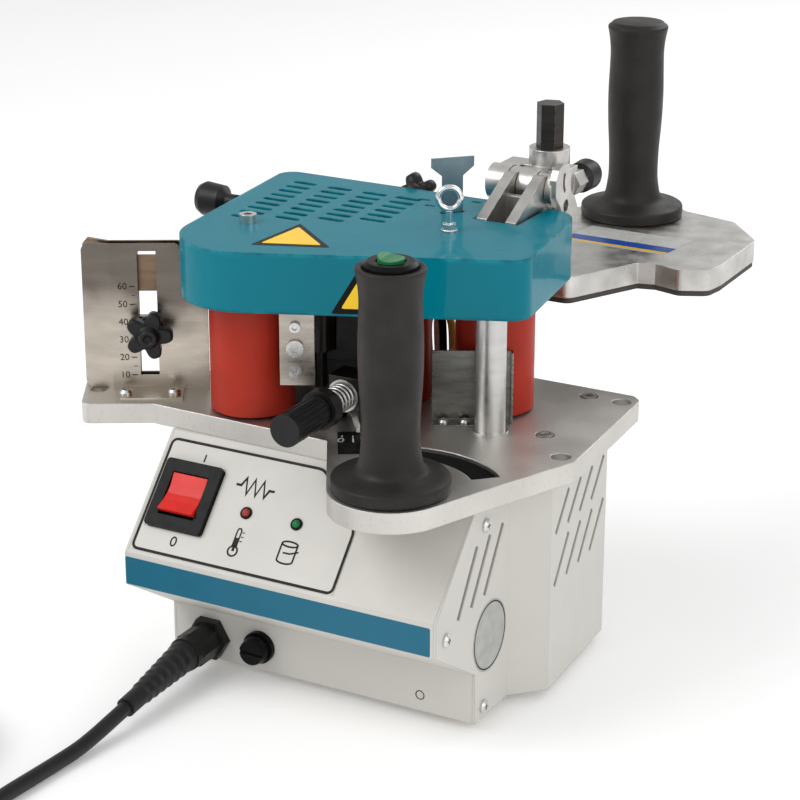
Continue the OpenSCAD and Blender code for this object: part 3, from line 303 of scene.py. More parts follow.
def black_plastic():
    return material("black_plastic", (0.009, 0.009, 0.009), 0.38, spread=0.2, grain=90, bump=0.5,
                    bump_grain=1700, edge=0.4, wear_and_highlight=0.2, wear_and_highlight_color=(0.08, 0.08, 0.08), specular=0.3)


def satin_black():
    return material("satin_black", (0.004, 0.005, 0.0045), 0.3, spread=0.15, grain=120, bump=0.25,
                    bump_grain=2200, edge=0.5, specular=0.1)


def black_rubber():
    return material("black_rubber", (0.010, 0.010, 0.011), 0.46, spread=0.2, grain=60, bump=0.5,
                    bump_grain=1300, edge=0.3, specular=0.35)


def cord_rubber():
    return material("cord_rubber", (0.011, 0.011, 0.012), 0.42, spread=0.2, grain=45, bump=0.4,
                    bump_grain=800, edge=0.2, specular=0.35)


def pad_rubber():
    return material("pad_rubber", (0.045, 0.035, 0.028), 0.62, spread=0.15, grain=80, bump=0.5,
                    bump_grain=1100, edge=0.4)


def foot_rubber():
    return material("foot_rubber", (0.60, 0.54, 0.38), 0.6, spread=0.08, grain=90, bump=0.3, edge=0.4)


def pot_coat():
    return material("pot_coat", (0.018, 0.018, 0.02), 0.42, metal=0.2, spread=0.2, grain=60, bump=0.4,
                    bump_grain=800, edge=0.6, speck=0.4)


def blued_steel():
    return material("blued_steel", (0.17, 0.23, 0.26), 0.3, metal=1, spread=0.15, grain=50, bump=0.2,
                    edge=0.3, wear_and_highlight=0.7, wear_and_highlight_color=(0.5, 0.55, 0.58))


def chrome():
    return material("chrome", (0.78, 0.78, 0.78), 0.08, metal=1, spread=0.03, grain=60, bump=0.05,
                    rough_spread=0.03, edge=0.3)


def panel_film():
    return material("panel_film", (0.60, 0.585, 0.545), 0.38, spread=0.02, grain=30, bump=0.15,
                    bump_grain=1800, edge=0.15, specular=0.35)


def white_plastic():
    return material("white_plastic", (0.76, 0.76, 0.73), 0.35, spread=0.03, grain=60, bump=0.15, edge=0.3)


def ink(name, color, rough=0.4, glow=0.0):
    return material("ink_" + name, color, rough, spread=0.1, grain=150, bump=0.1, edge=0.05, glow=glow,
                    specular=0.15)


def lit_plastic(name, color, glow):
    return material("lit_" + name, color, 0.3, spread=0.08, grain=90, bump=0.1, edge=0.4, coat=0.12,
                    specular=0.2, glow=glow)


def brass():
    return material("brass", (0.62, 0.42, 0.16), 0.3, metal=1, spread=0.1, grain=80, bump=0.2, edge=0.3)


def board_green():
    return material("board_green", (0.03, 0.16, 0.06), 0.4, spread=0.2, grain=300, bump=0.2, edge=0.2)


NODE_MATERIALS = {
    housing_paint: "body_shell front_cover bottom_cover",
    deck_aluminium: "base_plate upper_plate",
    cast_aluminium: "arm_bracket arm_block shoe_plate",
    bright_steel: "pillars feed_roller_core press_roller_core adjuster_spring deck_posts",
    zinc: "housing_screws cap_screws guide_screws",
    sheet_steel: "shear_bracket height_stop",
    guard_steel: "roller_guard",
    guide_steel: "guide_front_plate",
    tinted_steel: "guide_back_plate",
    dark_steel: "hex_rod adjuster_block front_grip_core rear_grip_core gear_motor",
    fluted_steel: "glue_roller",
    teal_enamel: "top_cover",
    red_rubber: "feed_roller_sleeve press_roller_sleeve idler_roller",
    grip_rubber: "front_grip rear_grip",
    black_plastic: "side_knob rear_knob guide_knob clamp_knob adjuster_knob cable_gland mains_plug",
    satin_black: "switch_bezel fuse_holder fuse_cap grip_switch_bezel dial_plate",
    black_rubber: "strain_relief",
    cord_rubber: "mains_cord cord_coil",
    pad_rubber: "shoe_pad",
    foot_rubber: "rubber_feet",
    pot_coat: "glue_pot",
    blued_steel: "glue_gate",
    chrome: "eyebolt",
    panel_film: "panel_label",
    white_plastic: "flow_lever",
    brass: "motor_pinion",
    board_green: "control_board",
}


def paint(obj, mat):
    obj.data.materials.clear()
    obj.data.materials.append(mat)


def paint_nodes():
    for make, names in NODE_MATERIALS.items():
        for name in names.split():
            paint(NODES[name], make())
    paint(NODES["power_rocker"], lit_plastic("red", (0.62, 0.02, 0.014), 0.12))
    paint(NODES["grip_rocker"], lit_plastic("green", (0.012, 0.16, 0.05), 0.1))
    paint(NODES["indicator_lenses"], lit_plastic("lens", (0.45, 0.10, 0.07), 0.1))


paint_nodes()


# Building helpers -----------------------------------------------------------------------------
def add(name, mesh, mat, body, stands_for=(), slot=None, at=None):
    """A new piece on a body; `at` is the drawing plane that its mesh was made in."""
    obj = bpy.data.objects.new(name, mesh)
    bpy.context.scene.collection.objects.link(obj)
    if at is not None:
        mesh.transform(at)
    paint(obj, mat)
    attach(obj, body)
    if stands_for:
        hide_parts(*stands_for)
    return obj


def from_faces(name, points, faces, smooth=True):
    """A mesh from its points and faces, with every face turned to look outwards."""
    mesh = bpy.data.meshes.new(name)
    mesh.from_pydata([tuple(p) for p in points], [], faces)
    mesh.validate()
    work = bmesh.new()
    work.from_mesh(mesh)
    bmesh.ops.recalc_face_normals(work, faces=work.faces)
    for face in work.faces:
        face.smooth = smooth
    work.to_mesh(mesh)
    work.free()
    return mesh


def slab(name, outline, low, high, mat, body, at, soft=0.15):
    """A flat piece with an outline in the plane `at`, from low to high above it, edges softened."""
    n = len(outline)
    points = [(x, y, low) for x, y in outline] + [(x, y, high) for x, y in outline]
    faces = [list(range(n))[::-1], list(range(n, 2*n))]
    faces += [[i, (i + 1) % n, n + (i + 1) % n, n + i] for i in range(n)]
    obj = add(name, from_faces(name, points, faces, False), mat, body, at=at)
    if soft:
        rounding = obj.modifiers.new("soft_edge", "BEVEL")
        rounding.width = soft*MM
        rounding.segments = 2
        rounding.limit_method = "ANGLE"
        rounding.angle_limit = math.radians(50)
    return obj


def rounded(w, h, r, steps=6):
    """Outline of a rectangle with round corners, its middle at zero."""
    points = []
    for k, (sx, sy) in enumerate([(1, 1), (-1, 1), (-1, -1), (1, -1)]):
        for s in range(steps + 1):
            a = math.pi/2*(k + s/steps)
            points.append((sx*(w/2 - r) + r*math.cos(a), sy*(h/2 - r) + r*math.sin(a)))
    return points


def moved(outline, x, y):
    """The same outline, shifted in its plane."""
    return [(x + p, y + q) for p, q in outline]


def oval(x, y, across, up, steps=24):
    """Outline of an oval from its middle and half widths, starting at its right end."""
    turns = [2*math.pi*k/steps for k in range(steps)]
    return [(x + across*math.cos(a), y + up*math.sin(a)) for a in turns]


def smooth_line(points, steps):
    """A curve through points, with `steps` pieces to each span."""
    out = []
    for i in range(len(points) - 1):
        a, b = points[max(i - 1, 0)], points[i]
        c, d = points[i + 1], points[min(i + 2, len(points) - 1)]
        for k in range(steps):
            t = k/steps
            out.append(tuple(0.5*(2*q + (r - p)*t + (2*p - 5*q + 4*r - s)*t*t + (3*q - p - 3*r + s)*t**3)
                             for p, q, r, s in zip(a, b, c, d)))
    return out + [tuple(points[-1])]


def lathe(name, profile, mat, body, at, sides=96, **more):
    """A turned piece: profile is [radius, height] in the frame `at`, round its third axis."""
    n = len(profile)
    points = []
    faces = []
    for k in range(sides):
        a = 2*math.pi*k/sides
        points += [(r*math.cos(a), r*math.sin(a), z) for r, z in profile]
    for k in range(sides):
        j = (k + 1) % sides
        faces += [[k*n + i, j*n + i, j*n + i + 1, k*n + i + 1] for i in range(n - 1)]
    mesh = from_faces(name, points, faces)
    work = bmesh.new()
    work.from_mesh(mesh)
    bmesh.ops.remove_doubles(work, verts=work.verts, dist=1e-4)
    work.to_mesh(mesh)
    work.free()
    return add(name, mesh, mat, body, at=at, **more)


def cable(name, points, radius, mat, body, **more):
    """A round line through points in metres, as a curve."""
    curve = bpy.data.curves.new(name, "CURVE")
    curve.dimensions = "3D"
    curve.bevel_depth = radius
    curve.bevel_resolution = 4
    curve.use_fill_caps = True
    spline = curve.splines.new("POLY")
    spline.points.add(len(points) - 1)
    for knot, p in zip(spline.points, points):
        knot.co = (*p, 1)
    spline.use_smooth = True
    return add(name, curve, mat, body, **more)


def lettering(name, text, size, mat, body, at, x=0.0, y=0.0, turn=0.0):
    """Digits or a mark printed on the plane `at`, centred on x, y."""
    curve = bpy.data.curves.new(name, "FONT")
    curve.body = text
    curve.size = size
    curve.align_x = "CENTER"
    curve.align_y = "CENTER"
    curve.resolution_u = 3
    curve.extrude = 0.03
    holder = bpy.data.objects.new(name + "_line", curve)
    mesh = bpy.data.meshes.new_from_object(holder)
    spot = Matrix.Translation((x, y, 0.06)) @ Matrix.Rotation(math.radians(turn), 4, "Z")
    mesh.transform(at @ spot)
    bpy.data.objects.remove(holder)
    return add(name, mesh, mat, body)


# Mains cord -----------------------------------------------------------------------------------
CORD_D, CORD_LENGTH = 8, 2.4
SPAN_STEPS = 4
CORD_ROUTE = [(-160.5, -37.5, 6.2), (-161, -50, 4.2), (-162, -62, 1.8), (-163, -76, 0), (-165, -92, -1),
              (-166.5, -110, -1), (-168, -128, -1), (-169, -146, -1), (-174.1, -165, -1),
              (-188, -178.9, -1), (-207, -184, -1), (-222, -184.2, -1), (-236, -183.8, -1)]
COIL_LEAD_IN = [(-235.5, -184, -1), (-249, -184, -1)]
COIL_AT, COIL_R = (-262, -130), 46
# The coil's turns: from this angle on, the strand lies at [radius, height above the floor].
COIL_STEPS = [(0, 54, 4), (270, 46, 4), (630, 38, 4), (950, 38, 12), (1270, 46, 12), (1630, 54, 12),
              (1950, 46, 20), (2270, 54, 20)]
COIL_SHIFT, COIL_END, COIL_STRIDE = 80, 2610, 8
TIE_R, TIE_W, TIE_WALL, TIE_LIFT, TIE_SIDES = 12.9, 8, 0.05, 12, 48


def coil_point(turn):
    """A point of the coil after `turn` degrees, clockwise from the side nearest the front."""
    at = max(i for i, step in enumerate(COIL_STEPS) if step[0] <= turn)
    r, z = COIL_STEPS[at][1:]
    if at:
        r0, z0 = COIL_STEPS[at - 1][1:]
        t = min(1, (turn - COIL_STEPS[at][0])/COIL_SHIFT)
        t = t*t*(3 - 2*t)
        if r != r0 and z != z0:
            r, z = r + (r0 - r)*math.cos(t*math.pi/2), z0 + (z - z0)*math.sin(t*math.pi/2)
        else:
            r, z = r0 + (r - r0)*t, z0 + (z - z0)*t
    a = math.radians(-90 - turn)
    return (COIL_AT[0] + r*math.cos(a), COIL_AT[1] + r*math.sin(a), FLOOR + z)


def make_tie():
    """The band round the coil: a loop with round corners, flat where it meets the floor."""
    turns = [2*math.pi*k/TIE_SIDES for k in range(TIE_SIDES)]
    loop = [[TIE_R*math.copysign(abs(v)**0.45, v) for v in (math.cos(a), math.sin(a))] for a in turns]
    points = [(x*s, max(y*s, 0.1 - TIE_LIFT), z)
              for z in (-TIE_W/2, TIE_W/2) for s in (1, 1 - TIE_WALL) for x, y in loop]
    rims = [k*TIE_SIDES for k in range(4)]
    walls = ((rims[0], rims[1]), (rims[1], rims[3]), (rims[3], rims[2]), (rims[2], rims[0]))
    faces = []
    for a, b in walls:
        for i in range(TIE_SIDES):
            j = (i + 1) % TIE_SIDES
            faces.append([a + i, a + j, b + j, b + i])
    at = frame_at(COIL_AT[0] + COIL_R, COIL_AT[1], FLOOR + TIE_LIFT, (1, 0, 0), (0, 0, 1))
    return add("cord_tie", from_faces("cord_tie", points, faces), black_plastic(), "machine", at=at,
               slot="cord_black")


def make_cord():
    """The whole cord: along the floor from the strain relief, round the coil and up to the plug."""
    coil = [coil_point(COIL_STRIDE*k) for k in range(COIL_END//COIL_STRIDE + 1)] + [coil_point(COIL_END)]
    end = coil[-1]
    to_plug = [(end[0], end[1] + 11, FLOOR + 19.3), (end[0], end[1] + 24, FLOOR + 18.6)]
    start = smooth_line(CORD_ROUTE[:-1] + COIL_LEAD_IN + coil[:2], SPAN_STEPS)
    finish = smooth_line([end] + to_plug, SPAN_STEPS)[1:]
    line = [place(*p) for p in start + coil[2:] + finish]
    cord = cable("mains_lead", line, CORD_D/2*MM, cord_rubber(), "machine",
                 stands_for=("mains_cord", "cord_coil"), slot="cord_black")
    band = make_tie()


make_cord()


# Grips ----------------------------------------------------------------------------------------
FRONT_GRIP, REAR_GRIP, GRIP_H = (-30, 8.5), (-45.8, 331.9), 115


def make_grip(name, x, y, z, body, node, closed):
    """A soft grip with a wide flange: a turned profile through a few radii, with fine rings."""
    foot = [(9.5, 0), (28.4, 0), (29.5, 0.7), (29.8, 1.8), (29.8, 5.6), (29.5, 6.4), (28.8, 6.9)]
    cone = [(24.6, 8.0), (20.6, 9.1)]
    waist = smooth_line([(20.6, 9.1), (18.1, 10.3), (16.3, 13), (15.2, 18), (14.4, 26), (14.6, 40),
                         (15.6, 56), (16.0, 72), (15.6, 88), (15.4, 96), (15.7, 102), (16.4, 107),
                         (17.1, 110.6)], 8)[1:]
    lip = [(17.3, 111.4), (17.2, 112.3), (16.8, 112.9), (16.1, 113.1)]
    crown = [(15.9, 113.2), (14.8, 114.6), (12.8, GRIP_H), (0, GRIP_H)]
    open_rim = [(13.8, 113.05), (13.6, 112)]
    profile = foot + cone + waist + lip + (crown if closed else open_rim)
    lathe(name, profile, grip_rubber(), body, frame_at(x, y, z, (1, 0, 0), (0, 1, 0)), sides=128,
          stands_for=(node,), slot="grip_rubber")


make_grip("front_grip_soft", *FRONT_GRIP, DECK_TOP, "machine", "front_grip", False)
make_grip("rear_grip_soft", *REAR_GRIP, SHOE_TOP, "shoe", "rear_grip", True)


# Knobs ----------------------------------------------------------------------------------------
def star_knob(name, radius, height, at, node):
    """A moulded star knob: round lobes that fade into a boss, with a dished face and a hub."""
    sides, lobes = 120, 5
    points = []
    faces = []
    # Each ring: its level on the height, its size on the radius, and how deep the lobes cut.
    rings = [(0.0, 0.60, 0.0), (0.28, 0.62, 0.0), (0.36, 0.80, 0.9), (0.44, 0.97, 1.0), (0.88, 1.0, 1.0),
             (0.97, 0.96, 1.0), (1.0, 0.86, 0.95), (0.94, 0.58, 0.25), (1.0, 0.42, 0.0), (1.25, 0.37, 0.0),
             (1.32, 0.32, 0.0), (1.32, 0.20, 0.0), (1.2, 0.17, 0.0), (1.2, 0.001, 0.0)]
    for level, size, depth in rings:
        for k in range(sides):
            a = 2*math.pi*k/sides
            wave = 1 - 0.42*depth*(0.5 - 0.5*math.cos(lobes*a))**1.6
            points.append((radius*size*wave*math.cos(a), radius*size*wave*math.sin(a), height*level))
    for i in range(len(rings) - 1):
        faces += [[i*sides + k, i*sides + (k + 1) % sides, (i + 1)*sides + (k + 1) % sides,
                   (i + 1)*sides + k] for k in range(sides)]
    faces.append(list(range(sides))[::-1])
    return add(name, from_faces(name, points, faces), black_plastic(), node, stands_for=(node,),
               slot="knob_black", at=at)


GUIDE_AT, GUIDE_TURN = (-228.6, 58.1), math.radians(30)
GUIDE_X = (math.cos(GUIDE_TURN), math.sin(GUIDE_TURN), 0)
GUIDE_Y = (-math.sin(GUIDE_TURN), math.cos(GUIDE_TURN), 0)


def on_guide(u, v, w):
    """A point of the band guide: u along its plates, v behind them, w above the deck."""
    x, y = (start + u*along + v*back for start, along, back in zip(GUIDE_AT, GUIDE_X, GUIDE_Y))
    return (x, y, DECK_TOP + w)


star_knob("guide_star_knob", 13, 14, frame_at(*on_guide(21, -1.8, 35), GUIDE_X, (0, 0, 1)), "guide_knob")
star_knob("rear_star_knob", 12, 13, frame_at(-118.5, 190.5, 228, (-1, 0, 0), (0, 0, 1)), "rear_knob")


# Printed and stuck-on marks -------------------------------------------------------------------
BLACK_INK, WHITE_INK = (0.004, 0.004, 0.004), (0.82, 0.82, 0.80)
PANEL_UP = (0, math.cos(PANEL_TILT), math.sin(PANEL_TILT))
BAND_MARK, LIGHT_X, LIGHT_V = 48.6, (-122.8, -92.6), 34.4
SIDE_BADGE_AT, TOE_Y, TOE_RING_AT = (58.9, 44.4), 43.27, (-31.9, 9.1)
COVER_CORNER, COVER_ALONG, FRONT_STICKER_AT = (-134.8, 39.8), (0.918, 0.395), 63.5
DIAL_AT, DIAL_FIGURES_R, DIAL_TICKS_R = (-100, 92), 45.5, (38.5, 41.5)
TRIM_AT, TRIM_RADII, TRIM_SPAN = FRONT_GRIP, (41, 56), (44, 112)


def panel_plane(x=0.0, v=0.0, lift=0.42):
    """The sloping panel: x across, v up the slope."""
    out = (-math.sin(PANEL_TILT)*lift, math.cos(PANEL_TILT)*lift)
    return frame_at(x, v*PANEL_UP[1] + out[0], NOSE_Z + v*PANEL_UP[2] + out[1], (1, 0, 0), PANEL_UP)


def ribbon(name, points, width, mat, at, low=0.0, high=0.08, closed=False):
    """A flat line of even width on the machine, through points of the plane `at`."""
    n = len(points)
    left = []
    right = []
    for i, (x, y) in enumerate(points):
        a = points[i - 1] if closed or i else points[0]
        b = points[(i + 1) % n] if closed or i < n - 1 else points[-1]
        before, after = Vector((x - a[0], y - a[1])), Vector((b[0] - x, b[1] - y))
        before = before.normalized() if before.length else after.normalized()
        after = after.normalized() if after.length else before
        mid = (before + after).normalized()
        reach = width/2/max(0.5, mid.dot(after))
        left.append((x - mid.y*reach, y + mid.x*reach))
        right.append((x + mid.y*reach, y - mid.x*reach))
    verts = [(*p, z) for z in (low, high) for side in (left, right) for p in side]
    faces = []
    for i in range(n if closed else n - 1):
        j = (i + 1) % n
        faces += [[2*n + i, 2*n + j, 3*n + j, 3*n + i], [i, j, 2*n + j, 2*n + i],
                  [n + i, n + j, 3*n + j, 3*n + i]]
    return add(name, from_faces(name, verts, faces, False), mat, "machine", at=at)


def round_path(corners, r, steps=6):
    """A closed path with each corner rounded to radius r."""
    out = []
    for i, c in enumerate(corners):
        c = Vector(c)
        a = (Vector(corners[i - 1]) - c).normalized()
        b = (Vector(corners[(i + 1) % len(corners)]) - c).normalized()
        for s in range(steps + 1):
            t = s/steps
            p, q = c + a*r, c + b*r
            out.append(tuple(p*(1 - t)**2 + c*2*t*(1 - t) + q*t*t))
    return out


def make_panel_marks():
    """The printed frame of the panel, and symbols for on, off, the band, its heat and the glue pot."""
    at, dark = panel_plane(), ink("black", BLACK_INK)
    corners = [(-180.8, 3.2), (-60.2, 3.2), (-60.2, 38.2), (-88.3, 66.0), (-180.8, 66.0)]
    ribbon("mark_frame", round_path(corners, 3.6), 1.5, dark, at, closed=True)
    ribbon("mark_on", [(-158, 56.4), (-158, 60.6)], 0.9, dark, at)
    ribbon("mark_off", oval(-158, 11, 1.5, 2.4), 0.85, dark, at, closed=True)
    mid, high, low = BAND_MARK, BAND_MARK + 4.4, BAND_MARK - 4.4
    wave = [(-134.6, mid), (-131.6, mid), (-129.6, high), (-127.1, low), (-124.4, high), (-121.7, low),
            (-119.0, high), (-116.4, low), (-114.6, mid), (-111.4, mid)]
    ribbon("mark_band", wave, 1.35, dark, at)
    heat, pot = LIGHT_X[0], -92.2
    ribbon("mark_heat_bulb", oval(heat, 13.2, 2.7, 2.7), 0.95, dark, at, closed=True)
    stem = [(-1.2, 15.8), (-1.2, 24.6), (-0.6, 25.6), (0.6, 25.6), (1.2, 24.6), (1.2, 15.8)]
    ribbon("mark_heat_stem", moved(stem, heat, 0), 0.8, dark, at)
    ribbon("mark_heat_column", [(heat, 13.2), (heat, 20.6)], 1.5, dark, at)
    for k in range(3):
        v = 19 + 2.4*k
        ribbon("mark_heat_step_%d" % k, [(heat + 2, v), (heat + 3.4, v)], 0.5, dark, at)
    ribbon("mark_pot_rim", oval(pot, 23.4, 4.6, 1.4), 0.95, dark, at, closed=True)
    base = oval(pot, 14.4, -4.6, -1.6)[:13]
    ribbon("mark_pot_side", [(pot - 4.6, 23.4)] + base + [(pot + 4.6, 23.4)], 0.95, dark, at)
    ribbon("mark_pot_level", [(-94.6, 18.4), (-90.6, 18.4), (-86.0, 20.2)], 0.9, dark, at)


def make_lenses():
    """The two indicator lights: a dark collar with a small dome in it."""
    collar = [(2.2, 0.2), (3.2, 0.2), (3.3, 0.7), (3.0, 1.1), (2.3, 1.2), (2.2, 0.6)]
    dome = [(2.35, -6), (2.35, 0.6), (2.2, 1.2), (1.7, 1.8), (0.9, 2.2), (0, 2.35)]
    claim = {"stands_for": ("indicator_lenses",), "slot": "lens_plastic"}
    lights = (("lens_left", (0.30, 0.045, 0.035), claim), ("lens_right", (0.01, 0.16, 0.06), {}))
    for x, (name, color, more) in zip(LIGHT_X, lights):
        at = panel_plane(x, LIGHT_V)
        lathe(name + "_collar", collar, satin_black(), "machine", at, sides=40)
        lathe(name, dome, lit_plastic(name, color, 0.1), "machine", at, sides=40, **more)


def make_stripe():
    """The plain blue stripe along the nose."""
    blue = material("stripe_blue", (0.0144, 0.135, 0.215), 0.34, spread=0.03, grain=40, bump=0.1, edge=0.1,
                    specular=0.25)
    at = frame_at(0, -0.02, 0, (1, 0, 0), (0, 0, 1))
    outline = moved(rounded(180.5, 15.6, 0.8), -93.6, 64.2)
    slab("nose_stripe", outline, 0, 0.12, blue, "machine", at, soft=0.03)


def make_guide_scale():
    """Ten-millimetre marks with their numbers up the band guide, and short marks half-way."""
    at, dark = frame_at(*on_guide(0, -0.03, 0), GUIDE_X, (0, 0, 1)), ink("black", BLACK_INK)
    first = 8.4
    for k in range(6):
        label, w = 10*k + 10, first + 10*k
        lettering("scale_number_%d" % label, str(label), 5.2, dark, "machine", at, 6.6, w)
        mark = moved(rounded(3.0, 0.5, 0.1), 11.8, w)
        slab("scale_mark_%d" % label, mark, 0, 0.08, dark, "machine", at, soft=0)
    for k in (1, 3, 5, 7, 9):
        mark = moved(rounded(1.8, 0.35, 0.1), 12.4, first + 5*k)
        slab("scale_half_%d" % k, mark, 0, 0.08, dark, "machine", at, soft=0)


def triangle_sticker(name, corners, at, border):
    """A plain yellow triangle with a black border, its tips cut round."""
    yellow = material("sticker_yellow", (0.95, 0.60, 0.008), 0.35, spread=0.03, grain=60, bump=0.1,
                      edge=0.1)
    mid = [sum(p[i] for p in corners)/3 for i in (0, 1)]
    for part, size, low, mat in (("edge", 1.0, 0, ink("black", BLACK_INK)), ("face", border, 0.1, yellow)):
        tips = [tuple(mid[j] + (p[j] - mid[j])*size for j in (0, 1)) for p in corners]
        slab(name + "_" + part, round_path(tips, 1.6, 4), low, low + 0.1, mat, "machine", at, soft=0)


def make_stickers():
    """Plain caution triangles on the cover, and a plain round badge and a ring on the housing."""
    dark = ink("black", BLACK_INK)
    top = frame_at(0, 0, COVER_TOP + 0.02, (1, 0, 0), (0, 1, 0))
    triangle_sticker("cover_sticker", [(-137.2, 54.6), (-99.0, 69.6), (-134.2, 99.2)], top, 0.76)
    x, y = (c + a*FRONT_STICKER_AT for c, a in zip(COVER_CORNER, COVER_ALONG))
    front = frame_at(x + 0.02, y - 0.03, 0, (*COVER_ALONG, 0), (0, 0, 1))
    triangle_sticker("front_sticker", [(-17, 203.2), (17, 203.2), (0, 231.6)], front, 0.7)
    side = frame_at(0.03, 0, 0, (0, 1, 0), (0, 0, 1))
    badge = oval(*SIDE_BADGE_AT, 18.6, 19.53, 64)
    slab("side_badge", badge, 0, 0.12, ink("badge_grey", (0.42, 0.42, 0.40)), "machine", side, soft=0)
    ring = oval(*SIDE_BADGE_AT, 17.298, 18.163, 64)
    ribbon("side_badge_ring", ring, 0.8, dark, side, 0.12, 0.2, closed=True)
    toe = frame_at(0, TOE_Y, 0, (1, 0, 0), (0, 0, 1))
    ribbon("toe_ring", oval(*TOE_RING_AT, 2.4, 2.4), 0.5, dark, toe, closed=True)


def make_shoe_strips():
    """A plain printed strip on the shoe plate, with two bands of colour along its front."""
    shoe = frame_at(0, 0, SHOE_TOP + 0.02, (1, 0, 0), (0, 1, 0))
    strips = (("silver", (0.46, 0.46, 0.44), 0, 1), ("blue", (0.012, 0.065, 0.30), 0.14, 0.42),
              ("yellow", (0.80, 0.47, 0.01), 0.06, 0.14))
    left, right = Vector((-60, 263.5)), Vector((3.5, 263.3))
    rise = Vector((0.13, 1)).normalized()*34
    for k, (name, color, a, b) in enumerate(strips):
        outline = [tuple(left + rise*a), tuple(right + rise*a), tuple(right + rise*b), tuple(left + rise*b)]
        low = 0.04*k
        slab("shoe_strip_" + name, outline, low, low + 0.05, ink("strip_" + name, color, 0.3), "shoe", shoe,
             soft=0)


def polar(middle, r, turn):
    """The point at r from a middle, `turn` degrees round from the x axis."""
    a = math.radians(turn)
    return (middle[0] + r*math.cos(a), middle[1] + r*math.sin(a))


def make_dial_marks():
    """Small figures and ticks round the glue flow dial."""
    at, pale = frame_at(0, 0, DECK_TOP + 0.85, (1, 0, 0), (0, 1, 0)), ink("white", WHITE_INK)
    for k in range(4):
        turn = 8*k - 67
        spot = polar(DIAL_AT, DIAL_FIGURES_R, turn)
        lettering("dial_number_%d" % k, str(k), 8, pale, "machine", at, *spot, turn + 90)
        ribbon("dial_tick_%d" % k, [polar(DIAL_AT, r, turn) for r in DIAL_TICKS_R], 0.6, pale, at)


def make_wires():
    """Four insulated wires from the deck's window up to the glue pot's heater."""
    colors = (("pink", (0.50, 0.12, 0.10)), ("white", (0.75, 0.72, 0.65)), ("black", BLACK_INK),
              ("yellow", (0.62, 0.42, 0.10)))
    for k, (name, color) in enumerate(colors):
        x, y = -80 + 4.2*k, 143 + 2.2*(k % 2)
        path = smooth_line([(x, y + 2, 132), (x, y, 150), (x - 1, y, 176), (x + 6 - 4*k, y - 2, 190),
                            (x - 5 + 3*k, y - 3, 200), (x - 12, y + 2, 206), (x - 20, y + 4, 207)], 6)
        sleeve = ink("wire_" + name, color, 0.42)
        cable("wire_" + name, [place(*p) for p in path], 2.1*MM, sleeve, "machine")


def make_pot_foot():
    """The dark skirt that the glue pot stands on."""
    outline = [(-160, 115), (-141, 120), (-102, 136), (-102, 151), (-160, 151)]
    deck = frame_at(0, 0, DECK_TOP, (1, 0, 0), (0, 1, 0))
    slab("pot_foot", outline, 0.05, 13.9, pot_coat(), "machine", deck, soft=0.6)


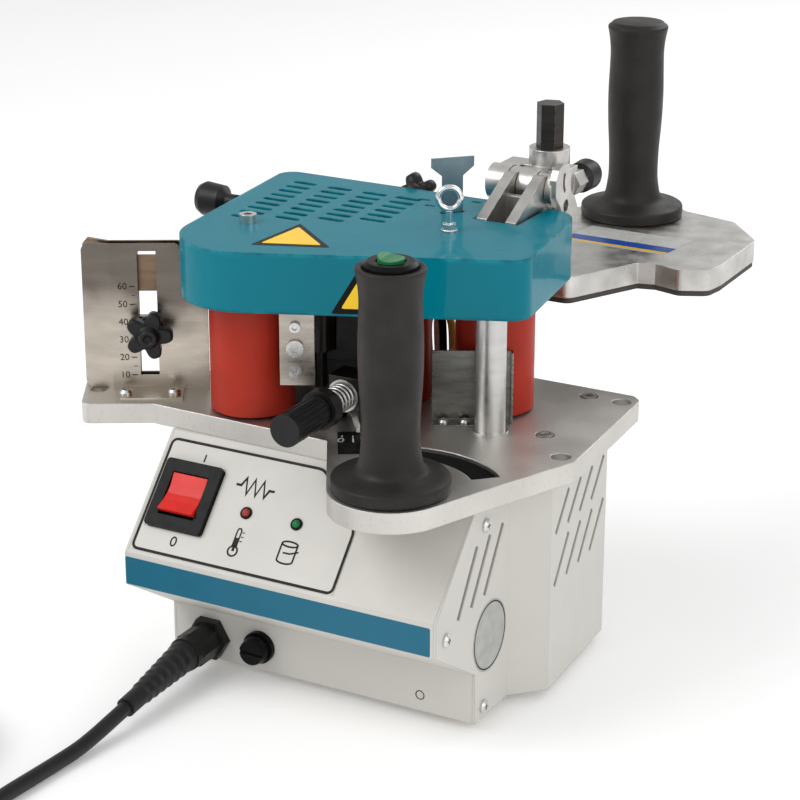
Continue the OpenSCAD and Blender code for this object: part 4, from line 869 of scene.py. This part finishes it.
def make_vent_backs():
    """Painted shade: black sheets close behind the vents of the housing and the cover, and in the deck's
    trim slot, in place of the shade inside.
    """
    # A dark matte sheet that paints the shade inside the openings.
    painted_shade_sheet = material("vent_painted_shade", (0.006, 0.006, 0.006), 0.9, spread=0.3, grain=300, bump=0.4, specular=0.1)
    side = frame_at(-2.2, 0, 0, (0, 1, 0), (0, 0, 1))
    rear = frame_at(16 - 2.3, 96.5, 0, (-5, 80.5, 0), (0, 0, 1))
    cover = frame_at(0, 0, COVER_TOP - 1.9, (1, 0, 0), (0, 1, 0))
    slot = frame_at(0, 0, DECK_TOP - 2, (1, 0, 0), (0, 1, 0))
    turns = [TRIM_SPAN[0] + 1 + (TRIM_SPAN[1] - TRIM_SPAN[0] - 2)*k/24 for k in range(25)]
    inner = [polar(TRIM_AT, TRIM_RADII[0] + 0.3, t) for t in turns]
    outer = [polar(TRIM_AT, TRIM_RADII[1] - 0.3, t) for t in turns[::-1]]
    painted_shade_sheets = (("front", [(21, 62), (78, 62), (78, 104), (40, 104), (21, 86)], side),
             ("rear", [(1, 54), (79, 54), (79, 110), (1, 110)], rear),
             ("cover", [(-183, 90), (-120, 90), (-90, 120), (-90, 172), (-120, 172), (-183, 172)], cover),
             ("trim", inner + outer, slot))
    for name, outline, at in painted_shade_sheets:
        slab("painted_shade_" + name, outline, -0.4, 0, painted_shade_sheet, "machine", at, soft=0)


make_panel_marks()
make_lenses()
make_stripe()
make_guide_scale()
make_stickers()
make_shoe_strips()
make_dial_marks()
make_wires()
make_vent_backs()
make_pot_foot()


# Floor and light ------------------------------------------------------------------------------
FLOOR_REACH, FLOOR_GAP = 6, 0.0002
# Each lamp: its place and its width in metres, and its power in watts.
LAMPS = (("key", (-0.9, -1.1, 1.5), 1.1, 15), ("fill", (1.5, -0.6, 0.9), 1.4, 7),
         ("back", (0.3, 1.6, 1.3), 1.2, 9))
LAMP_TARGET = Vector((0, 0, 0.15))


def make_studio():
    """A plain pale floor, an even white sky and three broad soft lamps that face the machine."""
    corners = [(-1, -1), (1, -1), (1, 1), (-1, 1)]
    points = [(x*FLOOR_REACH, y*FLOOR_REACH, -FLOOR_GAP) for x, y in corners]
    mesh = from_faces("floor", points, [[0, 1, 2, 3]])
    floor = bpy.data.objects.new("floor", mesh)
    bpy.context.scene.collection.objects.link(floor)
    paint(floor, material("floor", (0.93, 0.93, 0.93), 0.8, spread=0.01, grain=3, bump=0.02, edge=0.1,
                          specular=0.2, glow=0.14))
    world = bpy.data.worlds.new("studio")
    bpy.context.scene.world = world
    world.use_nodes = True
    sky = world.node_tree.nodes["Background"]
    sky.inputs["Color"].default_value = (1, 1, 1, 1)
    sky.inputs["Strength"].default_value = 0.66
    for name, spot, size, power in LAMPS:
        light = bpy.data.lights.new(name, "AREA")
        light.energy = power
        light.size = size
        lamp = bpy.data.objects.new(name, light)
        bpy.context.scene.collection.objects.link(lamp)
        lamp.location = spot
        lamp.rotation_euler = (LAMP_TARGET - Vector(spot)).to_track_quat("-Z", "Y").to_euler()


make_studio()
bpy.context.scene.view_settings.view_transform = "Standard"
